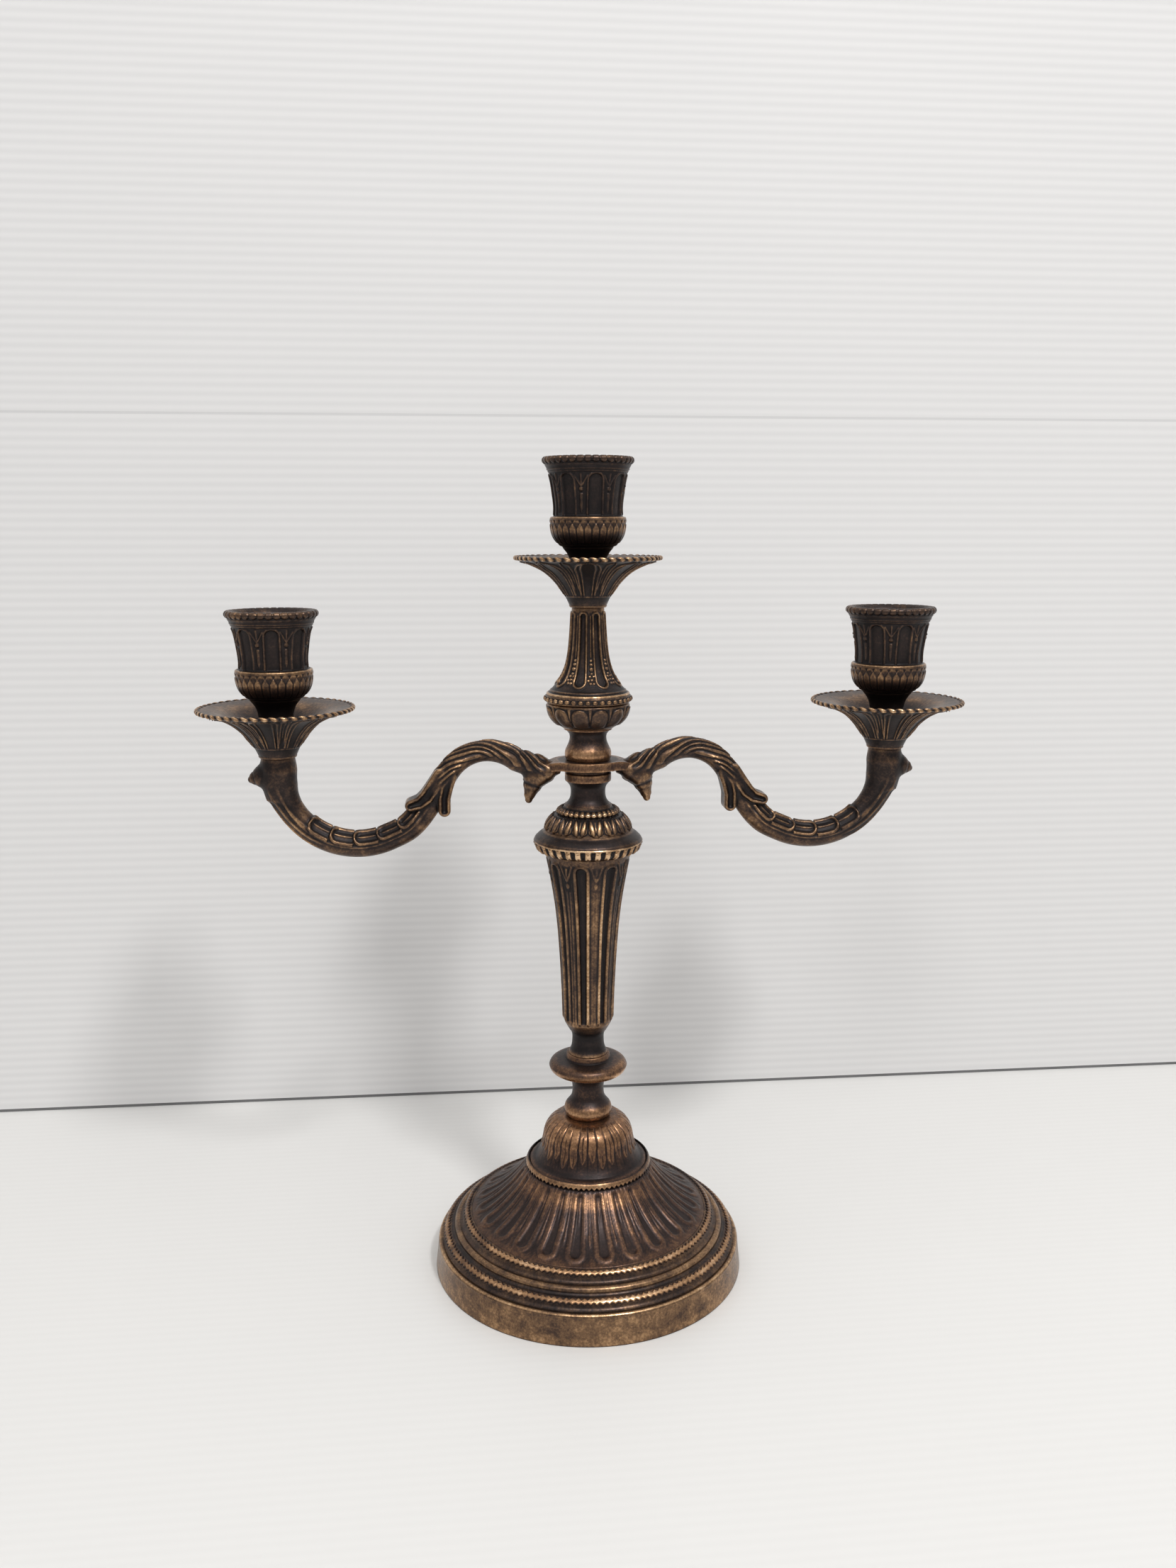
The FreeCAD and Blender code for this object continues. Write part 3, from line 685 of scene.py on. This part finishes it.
def pan_relief(p):
    rim_radius = p.radius.max()
    # Underside: wide pointed petals with slender loops between them.
    under = (p.up < 0.1) & (p.radius < rim_radius - 2.0)
    petal = np.abs(p.across(PAN_PETALS, FRONT))
    tip = rim_radius - 2.6
    taper = np.sqrt(np.clip((tip - p.radius) / 7.0, 0, 1))
    width = p.radius * 0.235 * taper + 0.3
    lines = 0.60 * ridge(petal - width, 0.52) + 0.42 * ridge(petal - width * 0.60, 0.40)
    lines = lines * rise(p.radius, 8.5, 9.5) * (p.radius < tip)
    loop = np.abs(p.across(PAN_PETALS, FRONT + 22.5))
    loop_width = p.radius * 0.060 * np.sqrt(np.clip((tip - 0.5 - p.radius) / 3.0, 0, 1)) + 0.2
    loops = 0.55 * ridge(loop - loop_width, 0.46) * rise(p.radius, 9.5, 11) * (p.radius < tip - 0.5)
    stalk = 0.30 * ridge(loop, 0.35) * band(p.radius, 12, tip - 6, 2)
    foot_line = 0.16 * ridge(p.height - 4.3, 0.3)
    below = lines + loops + stalk + foot_line
    # Rim: a rope of slanted strands.
    rim = rise(p.radius, rim_radius - 2.4, rim_radius - 1.7)
    slant = (p.height - 18.5) * 0.9 + (rim_radius - p.radius) * 0.9
    strand = np.cos(ROPE_STRANDS * p.turn + slant * 1.1)
    rope = (0.48 * np.sqrt(np.clip((strand + 1) / 2, 0, 1)) - 0.50) * rim
    streaks = 0.02 * np.sin(p.turn * 211) * (p.up > 0.3)
    return np.where(under, below, 0) + rope + streaks


def pan_gild(p):
    rim_radius = p.radius.max()
    edge = rise(p.radius, rim_radius - 1.6, rim_radius - 0.4)
    inside = (p.up > 0.4) * (1 - edge)
    slant = (p.height - 18.5) * 0.9 + (rim_radius - p.radius) * 0.9
    crest = np.cos(ROPE_STRANDS * p.turn + slant * 1.1)
    return (0.07 + 0.22 * crest) * edge + 0.08 * inside - 0.02 * (p.up < 0)


def pan_piece(name, body):
    node = name + "_drip_pan"
    low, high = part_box(node)
    radius = (high.x - low.x) / 2 / MM
    outline = Outline(2.1, 0, 1.5).line(6.6, 0).finer(0.3).arc((7.1, 0.3), (7.2, 1.0))
    outline.curve((8.9, 4.6), (12.1, 9.3), (17.4, 14.1), (22.8, 16.8)).line(radius - 1.3, 17.8)
    outline.finer(0.17).arc((radius, 18.7), (radius - 1.2, 19.5)).line(radius - 2.2, 19.1).finer(0.6)
    outline.curve((20.4, 17.5), (14.6, 14.3), (9.6, 11.0)).finer(1.5).line(2.1, 11.0)
    made = turned(node, outline, 548, pan_relief, pan_gild, axis_of(node), seat_of(node))
    place(made, node, body, PAN)


def cup_relief(p):
    outside = p.out > -0.2
    tab = np.abs(p.across(CUP_TABS, FRONT))
    edge = slot_edge(tab, p.height, 1.18, 42.0, 48.0)
    tabs = (0.42 * (1 - rise(edge, -0.25, 0.12)) - 0.34) * rise(p.height, 41.7, 42.1)
    fillets = 0.26 * ridge(p.height - 40.15, 0.34) + 0.22 * ridge(p.height - 39.35, 0.30)
    arch = p.across(CUP_ARCHES, FRONT + 12)
    border = slot_edge(arch, p.height, 2.9, 14.0, 38.8)
    arches = 0.48 * ridge(border, 0.52) - 0.36 * rise(-border, 0.25, 0.8)
    rib = p.across(CUP_ARCHES, FRONT + 12 + 22.5)
    drop_width = 0.75 * np.clip((p.height - 24.2) / 1.8, 0.02, 1)
    drop = 0.46 * ridge(rib, drop_width) * band(p.height, 24.3, 31.2, 0.3)
    ball = 0.65 * bead(rib, p.height - 32.8, 0.90)
    up = np.clip(p.height - 33.6, 0, 5)
    husk = 0.42 * ridge(np.abs(rib) - 0.60 * up, 0.50) * band(p.height, 33.6, 37.8, 0.6)
    husk = husk + 0.42 * ridge(rib, 0.50) * band(p.height, 33.8, 38.4, 0.6)
    body = (arches + np.where(border > 0.3, drop + ball + husk, 0)) * band(p.height, 23.3, 38.6, 0.3)
    # Bulb: notches under its top ridge, then leaf tips over ribs.
    leaf = np.abs(p.across(CUP_LEAVES, FRONT))
    half = math.pi / CUP_LEAVES * p.radius
    top = 0.20 * ridge(p.height - 22.5, 0.4)
    notch_width = 0.6 * half * np.clip((p.height - 20.3) / 1.2, 0.02, 1)
    notch = -0.34 * ridge(leaf, notch_width) * band(p.height, 20.4, 21.6, 0.3)
    point = 0.9 - 0.85 * np.clip((p.height - 18.4) / 1.9, 0, 1)
    rib_shape = 0.30 * rise(point * half - leaf, -0.1, 0.3) * band(p.height, 13.2, 20.3, 0.4)
    bulb = top + notch + rib_shape - 0.10 * band(p.height, 13.2, 20.5, 0.5)
    foot = 0.20 * ridge(p.height - 12.1, 0.5)
    return np.where(outside & (p.radius > 5), tabs + fillets + body + bulb * (p.height < 23.2) + foot, 0)


def cup_gild(p):
    outside = p.out > -0.2
    tops = 0.04 * rise(p.height, 43.4, 44.4)
    ledge = 0.30 * ridge(p.height - 22.6, 0.5)
    bulb = 0.27 * band(p.height, 16.5, 22.0, 3.0)
    low = -0.10 * band(p.height, 8, 16, 3)
    return np.where(outside, tops + ledge + bulb + low, -0.10)


def cup_piece(name):
    node = name + "_candle_cup"
    outline = Outline(CUP_SCREW_HOLE, 0, 1.5).line(CUP_FOOT, 0).line(CUP_FOOT, 0.8).finer(0.45)
    outline.curve((6.6, 2.6), (6.7, 6.0), (7.8, 9.0), (9.5, 11.2)).finer(0.26)
    outline.line(9.7, 12.0).line(10.9, 12.4)
    outline.curve((13.0, 14.9), (14.1, 18.0), (14.4, 20.8)).arc((14.2, 22.4), (13.2, 23.0)).line(12.8, 23.4)
    outline.curve((12.7, 26.0), (13.3, 31.8), (14.3, 37.4), (15.8, 41.0), (16.7, 42.4))
    outline.arc((17.3, 43.6), (16.6, CUP_HEIGHT)).finer(1.6).line(14.6, CUP_HEIGHT)
    outline.curve((12.4, 41.6), (CANDLE_BORE, 38.0)).line(CANDLE_BORE, CUP_FLOOR).finer(3)
    outline.line(SCREW_HEAD_ROOM, CUP_FLOOR).line(SCREW_HEAD_ROOM, SCREW_HEAD_SEAT)
    outline.line(CUP_SCREW_HOLE, SCREW_HEAD_SEAT)
    made = turned(node, outline, 472, cup_relief, cup_gild, axis_of(node), seat_of(node))
    place(made, node, name + "_cup", CUP)


# ---- Hub plate and arms -----------------------------------------------------------------------

ARM_STEP = 0.293              # spacing of the grid that an arm is polygonised on
ARM_SLENDERNESS = 0.94
BARB_PITCH = 5.8
# Arm centre line from the middle of the socket's top, towards the hub and up
ARCH_CENTRE = (-79.7, -16.9)
ARCH_RADIUS = 18.0
ARCH_START = 128.0
U_CENTRE = (-29.5, -5.4)
U_RADIUS = 29.5
ROOT = ((-106.3, -6.2), (-102.9, -6.2), (-98.4, -5.4))
SOCKET_RADIUS = 6.4
SOCKET_LENGTH = 16.0


def arm_line():
    """Centre line of the right arm at even spacing, as points and the distance run along it."""
    across, up = U_CENTRE[0] - ARCH_CENTRE[0], U_CENTRE[1] - ARCH_CENTRE[1]
    lean = math.degrees(math.atan2(up, across))
    tangent = lean + math.degrees(math.acos((ARCH_RADIUS + U_RADIUS) / math.hypot(across, up)))
    points = list(ROOT)
    for turn in np.linspace(ARCH_START, tangent, 40):
        turn = math.radians(turn)
        points.append((ARCH_CENTRE[0] + ARCH_RADIUS * math.cos(turn),
                       ARCH_CENTRE[1] + ARCH_RADIUS * math.sin(turn)))
    for turn in np.linspace(tangent - 180, 0, 80):
        turn = math.radians(turn)
        points.append((U_CENTRE[0] + U_RADIUS * math.cos(turn), U_CENTRE[1] + U_RADIUS * math.sin(turn)))
    points = np.array(points)
    run = np.concatenate([[0], np.cumsum(np.hypot(*np.diff(points, axis=0).T))])
    even = np.arange(0, run[-1], 0.4)
    return np.stack([np.interp(even, run, points[:, 0]), np.interp(even, run, points[:, 1])], 1), even


def smooth_union(a, b, blend):
    h = np.clip(0.5 + 0.5 * (b - a) / blend, 0, 1)
    return b + (a - b) * h - blend * h * (1 - h)


def tapered(x, y, z, points):
    """Distance from a chain of round tapering rods through (x, z, radius)."""
    best = None
    for (ax, az, ar), (bx, bz, br) in zip(points, points[1:]):
        vx, vz = bx - ax, bz - az
        share = np.clip(((x - ax) * vx + (z - az) * vz) / (vx * vx + vz * vz), 0, 1)
        away = np.sqrt((x - ax - share * vx) ** 2 + (z - az - share * vz) ** 2 + y ** 2)
        away = away - (ar + share * (br - ar))
        best = away if best is None else np.minimum(best, away)
    return best


def arm_relief(run, side, length):
    """Ornament of an arm by distance along it and angle from its upper side (0) to its lower side (pi)."""
    # Acanthus barbs over the upper part of the arch.
    bound = 1.95
    slant = 8.0 + 4.0 * rise(run, 15, 38)
    phase = (run + 1.1 * np.sin(run * 0.43 + 1) - (bound - side) * slant
             + 0.9 * np.sin(3 * side + run * 0.31)) / BARB_PITCH
    part = phase % 1
    bound = bound + 0.25 * (part - 0.5)
    barb = 1.05 * np.minimum(part / 0.65, (1 - part) / 0.35) ** 0.8 - 0.40
    barbs = barb * (1 - rise(side, bound - 0.12, bound + 0.02)) * band(run, 5.0, 50.0, 4.0)
    # Husks on the upper side of the U.
    start, pitch = 64.5, 10.2
    cell = np.clip(np.floor((run - start) / pitch), 0, 4)
    local = run - start - cell * pitch
    half = 2.5 + 0.25 * cell
    across = (side - 0.78) * 5.0
    edge = slot_edge(across, local, half, -14.0, pitch - 0.3)
    husk = (0.75 * ridge(edge, 0.75) - 0.45 * rise(-edge, 0.5, 1.6) + 0.35 * ridge(across, 0.5))
    husks = husk * band(run, start, start + 5 * pitch, 1.0)
    line = 0.35 * ridge(across - 4.3, 0.5) * band(run, 62, length - 12, 4)
    # Long veins that run up to the socket on the outer side.
    left = length - run
    veins = 0
    for spot in (1.75, 2.3, 2.85):
        veins = veins + 0.40 * ridge((side - spot + left * 0.012) * 5.0, 0.6) * band(left, 6.0, 32.0, 6.0)
    return barbs + husks + line + veins


def arm_surface():
    """Vertices and quads of the right arm, in millimetres from the middle of its socket's top."""
    line, run_at = arm_line()
    length = run_at[-1]
    xs = np.arange(-108.0, 12.5, ARM_STEP)
    zs = np.arange(-42.5, 7.5, ARM_STEP)
    ys = np.arange(-8.2, 8.2 + ARM_STEP, ARM_STEP)
    flat_x, flat_z = (a.ravel() for a in np.meshgrid(xs, zs, indexing="ij"))
    nearest = np.empty(len(flat_x), int)
    for low in range(0, len(flat_x), 20000):
        part = slice(low, low + 20000)
        nearest[part] = ((flat_x[part, None] - line[:, 0]) ** 2
                         + (flat_z[part, None] - line[:, 1]) ** 2).argmin(1)
    tangent = np.gradient(line, axis=0)
    tangent /= np.hypot(*tangent.T)[:, None]
    dx = flat_x - line[nearest, 0]
    dz = flat_z - line[nearest, 1]
    forward = dx * tangent[nearest, 0] + dz * tangent[nearest, 1]
    upward = -dx * tangent[nearest, 1] + dz * tangent[nearest, 0]
    shape = (len(xs), 1, len(zs))
    run = (run_at[nearest] + np.where((nearest > 0) & (nearest < len(line) - 1), forward, 0)).reshape(shape)
    forward = np.where((nearest == 0) | (nearest == len(line) - 1), forward, 0).reshape(shape)
    upward = upward.reshape(shape)
    upward = upward + 0.7 * band(run, 56, 76, 9)
    x = xs[:, None, None]
    y = ys[None, :, None]
    z = zs[None, None, :]
    # Wider where the arm grows out of the hub's bar, narrower between the leaves of the calyx.
    deep = y / (ARM_SLENDERNESS + 0.5 * (1 - rise(run, 0, 9)) - 0.24 * band(run, 57, 67, 5))
    # Radius along the arm: root, arch, straight run, calyx, U.
    left = length - run
    radius = np.interp(run, (0, 3.5, 8, 17, 30, 38, 49, 58, 62, 68, 92),
                       (2.6, 3.8, 4.7, 4.3, 4.0, 4.1, 4.3, 4.7, 5.0, 5.0, 5.0))
    near_socket = np.interp(left, (0, 6.6, 10, 14.6, 20, 34), (6.4, 6.2, 5.6, 5.1, 4.9, 5.0))
    radius = np.where(left < 34, near_socket, radius)
    around = np.hypot(upward, deep)
    side = np.arctan2(np.abs(deep), upward)
    body = np.sqrt(around ** 2 + forward ** 2) - radius
    socket = np.hypot(x, y) - SOCKET_RADIUS + 0.15 * np.clip(-5.0 - z, 0, None)
    socket = np.maximum(socket, np.maximum(z, -SOCKET_LENGTH - z))
    ornament = arm_relief(run, side, length)
    hub_spur = tapered(x, deep, z, ((-101.9, -7.5, 4.3), (-98.6, -8.6, 5.2), (-97.2, -12.4, 3.4),
                                    (-96.0, -16.4, 1.9), (-95.6, -18.5, 1.1)))
    ridge_line = -0.35 * ridge(y, 0.7) * (z < -10)
    # Calyx of two leaves with a raised edge round a hollow, each as thick as its outline is deep.
    calyx = 9.0
    for chain in (((-61.5, -8.0, 2.9), (-58.6, -12.2, 2.8), (-56.0, -16.0, 2.8), (-53.3, -18.3, 2.5),
                   (-49.8, -19.4, 2.2)),
                  ((-65.5, -8.5, 2.2), (-63.7, -12.9, 2.5), (-62.8, -17.0, 2.4), (-62.8, -21.6, 2.4))):
        outline = tapered(x, 0, z, chain)
        opening = rise(-9.5 - z, 0, 5)
        edge = 0.55 * ridge(outline + 0.7, 0.85)
        face = np.abs(y) - 3.7 - (0.5 + edge - 0.75 * rise(-outline, 0.9, 2.4)) * opening
        leaf = -smooth_union(-outline, -face, 1.2)
        calyx = np.minimum(calyx, leaf)
    outer = tapered(x, deep, z, ((1.6, -8.4, 6.2), (5.6, -7.3, 4.5), (8.4, -7.9, 2.8), (10.2, -8.5, 1.5)))
    solid = smooth_union(body - ornament, hub_spur + ridge_line, 1.2)
    solid = smooth_union(solid, calyx, 0.5)
    solid = smooth_union(solid, outer, 0.9)
    solid = smooth_union(solid, socket, 2.5)
    # Kept out: above the socket's top and inside the socket's screw.
    solid = np.maximum(solid, np.minimum(z, x + 20.0))
    solid = np.maximum(solid, np.minimum(2.0 - np.hypot(x, y), z + 10.5))
    grid = openvdb.FloatGrid(3.0)
    grid.copyFromArray(np.clip(solid, -3, 3).astype(np.float32))
    vertices, _, quads = grid.convertToPolygons(0.0, 0.0)
    vertices = vertices * ARM_STEP + (xs[0], ys[0], zs[0])
    return vertices, quads.astype(np.int64)


def mesh_wear(vertices, quads):
    """As grid_wear, for any mesh of quads."""
    ends = np.concatenate([quads[:, [0, 1]], quads[:, [1, 2]], quads[:, [2, 3]], quads[:, [3, 0]]])
    count = (np.bincount(ends[:, 0], minlength=len(vertices))
             + np.bincount(ends[:, 1], minlength=len(vertices)))
    faces = np.cross(vertices[quads[:, 2]] - vertices[quads[:, 0]],
                     vertices[quads[:, 3]] - vertices[quads[:, 1]])
    normal = np.stack([sum(np.bincount(quads[:, k], faces[:, axis], len(vertices)) for k in range(4))
                       for axis in range(3)], 1)
    normal /= np.linalg.norm(normal, axis=1, keepdims=True) + 1e-12

    def relax(points, rounds):
        for _ in range(rounds):
            points = np.stack([np.bincount(ends[:, 0], points[ends[:, 1], axis], len(points))
                               + np.bincount(ends[:, 1], points[ends[:, 0], axis], len(points))
                               for axis in range(3)], 1) / count[:, None]
        return points

    lightly = relax(vertices, 2)
    small = relax(lightly, 10)
    large = relax(small, 40)
    return [((lightly - points) * normal).sum(1) for points in (small, large)]


def arm_pieces():
    reach = axis_of("right_drip_pan")
    top = seat_of("right_drip_pan")
    vertices, quads = arm_surface()
    corner = vertices[quads]
    volume = (corner[:, 0] * np.cross(corner[:, 1], corner[:, 2])
              + corner[:, 0] * np.cross(corner[:, 2], corner[:, 3])).sum()
    if volume < 0:
        quads = quads[:, ::-1]
    wear = wear_from(*mesh_wear(vertices, quads))
    vertices = vertices + (reach, 0, top)
    for name, side in (("right_arm", 1), ("left_arm", -1)):
        # Painted shade on the socket and the outer thorn just under the drip pan.
        gild_and_painted_light = -0.15 * rise(vertices[:, 0], reach - 13, reach - 5) * rise(vertices[:, 2], top - 26, top - 12)
        made = make_object(name, vertices * (side, 1, 1), quads if side > 0 else quads[:, ::-1],
                           {"wear": wear, "gild_and_painted_light": gild_and_painted_light})
        place(made, name, "arms", ARM)


def hub_piece():
    """Ring with two drooping bars, from the shape's height field on a fine grid."""
    low, high = (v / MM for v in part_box("hub_plate"))
    ring, thickness, droop = 12.3, 3.3, 1.5
    step = 0.2
    xs = np.arange(low.x - 1, high.x + 1, step)
    ys = np.arange(-ring - 1, ring + 1, step)
    zs = np.arange(low.z - 1, high.z + 1, step)
    x = xs[:, None, None]
    y = ys[None, :, None]
    z = zs[None, None, :]
    top = seat_of("upper_spool")
    sag = droop * rise(np.abs(x), 11.0, 19.0)
    flat = np.abs(z - (top - thickness / 2)) - thickness / 2
    bar_flat = np.abs(z - (top - thickness / 2 - sag)) - thickness / 2
    width = 3.4 + 5.2 * (1 - rise(np.abs(x), 8.0, 19.0))
    bar = np.maximum(np.maximum(np.abs(y) - width, bar_flat), np.abs(x) - high.x + 0.05)
    disc = np.maximum(np.hypot(x, y) - ring, flat)
    solid = smooth_union(disc, bar, 0.6)
    solid = np.maximum(solid, 3.05 - np.hypot(x, y))
    solid = np.maximum(solid, np.maximum(z - top, low.z - z))
    grid = openvdb.FloatGrid(3.0)
    grid.copyFromArray(np.clip(solid, -3, 3).astype(np.float32))
    vertices, _, quads = grid.convertToPolygons(0.0, 0.0)
    vertices = vertices * step + (xs[0], ys[0], zs[0])
    quads = quads.astype(np.int64)
    corner = vertices[quads]
    if (corner[:, 0] * np.cross(corner[:, 1], corner[:, 2])).sum() < 0:
        quads = quads[:, ::-1]
    front = 0.22 * rise(np.hypot(vertices[:, 0], vertices[:, 1]), ring - 1.0, ring - 0.3)
    wear = wear_from(*mesh_wear(vertices, quads))
    made = make_object("hub_plate", vertices, quads, {"wear": wear, "gild_and_painted_light": front})
    place(made, "hub_plate", "arms", TURNED)


base_pieces()
knop_piece()
column_piece()
collar_piece()
dome_piece()
neck_piece()
spool_piece()
bowl_piece()
stem_piece()
for light, pan_body in (("left", "arms"), ("centre", "stand"), ("right", "arms")):
    pan_piece(light, pan_body)
    cup_piece(light)
hub_piece()
arm_pieces()


# ---- Room, light and camera -------------------------------------------------------------------

def sheet_object(name, corners, material):
    mesh = bpy.data.meshes.new(name)
    mesh.from_pydata(corners, [], [tuple(range(len(corners)))])
    mesh.materials.append(material)
    made = bpy.data.objects.new(name, mesh)
    bpy.context.scene.collection.objects.link(made)
    return made


WALL_DISTANCE = 0.165         # behind the stem's axis, clear of the arms as they swivel
SEAM_HEIGHT = 0.355
SEAM_HALF_HEIGHT = 0.0006
SHADOW_GAP_HEIGHT = 0.0013           # dark line where the wall meets the table
LINE_FREQUENCY = 1480.0       # of the fine ribs, in radians per metre
ROOM_REACH = 2
WALL_FOOT = -0.2
TABLE_DROP = 0.0002           # below the base, so that the two faces never share a plane


def wall_finish():
    tree = Tree("wall_panel")
    where = tree.add("ShaderNodeTexCoord").outputs["Object"]
    split = tree.add("ShaderNodeSeparateXYZ", Vector=where)
    uneven = tree.noise(where, 3.0, 2)
    lines = tree.math("SINE", tree.math("MULTIPLY", split.outputs["Z"], LINE_FREQUENCY), 0.0)
    # Painted shade: a dark strip at the wall's foot stands for the shadowed gap against the table.
    gap = tree.math("LESS_THAN", split.outputs["Z"], SHADOW_GAP_HEIGHT)
    seam = tree.math("SUBTRACT", split.outputs["Z"], SEAM_HEIGHT)
    seam = tree.math("LESS_THAN", tree.math("ABSOLUTE", seam, 0.0), SEAM_HALF_HEIGHT)
    tone = tree.math("ADD", tree.math("MULTIPLY", lines, 0.07), 0.5)
    tone = tree.math("ADD", tone, tree.math("MULTIPLY", uneven, 0.15))
    tone = tree.math("SUBTRACT", tone, tree.math("MULTIPLY", seam, 0.25))
    tone = tree.math("SUBTRACT", tone, gap)
    tree.feed(tree.shader.inputs["Base Color"],
              tree.ramp(tone, [(0.0, (0.15, 0.15, 0.15)), (0.04, (0.60, 0.595, 0.59)),
                               (1.0, (0.925, 0.912, 0.902))]))
    tree.shader.inputs["Roughness"].default_value = 0.6
    # The panel has one side only, so that it does not hide the object from behind.
    back = tree.add("ShaderNodeNewGeometry").outputs["Backfacing"]
    tree.feed(tree.shader.inputs["Alpha"], tree.math("SUBTRACT", 1.0, back))
    return tree.material


def table_finish():
    tree = Tree("table_top")
    where = tree.add("ShaderNodeTexCoord").outputs["Object"]
    split = tree.add("ShaderNodeSeparateXYZ", Vector=where)
    lines = tree.math("SINE", tree.math("MULTIPLY", split.outputs["Y"], LINE_FREQUENCY), 0.0)
    tone = tree.math("ADD", tree.math("MULTIPLY", tree.noise(where, 6.0, 2), 0.15), 0.5)
    tone = tree.math("ADD", tone, tree.math("MULTIPLY", lines, 0.05))
    tree.feed(tree.shader.inputs["Base Color"],
              tree.ramp(tone, [(0.0, (0.70, 0.69, 0.67)), (1.0, (0.82, 0.81, 0.79))]))
    tree.shader.inputs["Roughness"].default_value = 0.45
    return tree.material


floor_z = cad_low.z - TABLE_DROP
sheet_object("table", [(-ROOM_REACH, -ROOM_REACH, floor_z), (ROOM_REACH, -ROOM_REACH, floor_z),
                       (ROOM_REACH, ROOM_REACH, floor_z), (-ROOM_REACH, ROOM_REACH, floor_z)], table_finish())
sheet_object("wall", [(-ROOM_REACH, WALL_DISTANCE, WALL_FOOT), (ROOM_REACH, WALL_DISTANCE, WALL_FOOT),
                      (ROOM_REACH, WALL_DISTANCE, ROOM_REACH), (-ROOM_REACH, WALL_DISTANCE, ROOM_REACH)],
             wall_finish())

scene = bpy.context.scene
scene.view_settings.view_transform = "Standard"
world = bpy.data.worlds.new("room")
world.use_nodes = True
scene.world = world
sky = world.node_tree.nodes["Background"]
direction = world.node_tree.nodes.new("ShaderNodeTexCoord")
split = world.node_tree.nodes.new("ShaderNodeSeparateXYZ")
tones = world.node_tree.nodes.new("ShaderNodeValToRGB")
tones.color_ramp.elements[0].position = 0.0
tones.color_ramp.elements[0].color = (0.22, 0.22, 0.23, 1)
tones.color_ramp.elements[1].position = 0.75
tones.color_ramp.elements[1].color = (1.0, 1.0, 1.0, 1)
world.node_tree.links.new(direction.outputs["Generated"], split.inputs["Vector"])
world.node_tree.links.new(split.outputs["Z"], tones.inputs["Fac"])
world.node_tree.links.new(tones.outputs["Color"], sky.inputs["Color"])
sky.inputs["Strength"].default_value = 1.0


def area_light(name, at, towards, size, energy):
    data = bpy.data.lights.new(name, "AREA")
    data.shape = "RECTANGLE"
    data.size, data.size_y = size
    data.energy = energy
    made = bpy.data.objects.new(name, data)
    made.location = at
    made.rotation_euler = (Vector(towards) - Vector(at)).to_track_quat("-Z", "Y").to_euler()
    scene.collection.objects.link(made)
    return made


area_light("ceiling_lamp", (0.45, -1.0, 1.50), (0, 0, 0.15), (0.20, 0.20), 11.0)
area_light("second_lamp", (-0.25, -0.95, 1.25), (0, 0, 0.15), (0.25, 0.25), 2.5)

camera_data = bpy.data.cameras.new("camera")
camera_data.lens = 29.9           # millimetres, on a sensor 36 mm along the picture's long side
camera_data.sensor_width = 36.0
camera_data.clip_start = 0.01
camera_data.clip_end = 10.0
camera = bpy.data.objects.new("camera", camera_data)
VIEW_DISTANCE = 0.501
VIEW_HEIGHT = 0.3026
VIEW_AZIMUTH = math.radians(-5.5)
VIEW_PITCH = math.radians(11.28)
camera.location = (VIEW_DISTANCE * math.sin(VIEW_AZIMUTH),
                   -VIEW_DISTANCE * math.cos(VIEW_AZIMUTH), VIEW_HEIGHT)
camera.rotation_euler = (math.pi / 2 - VIEW_PITCH, 0, VIEW_AZIMUTH)
scene.collection.objects.link(camera)
scene.camera = camera
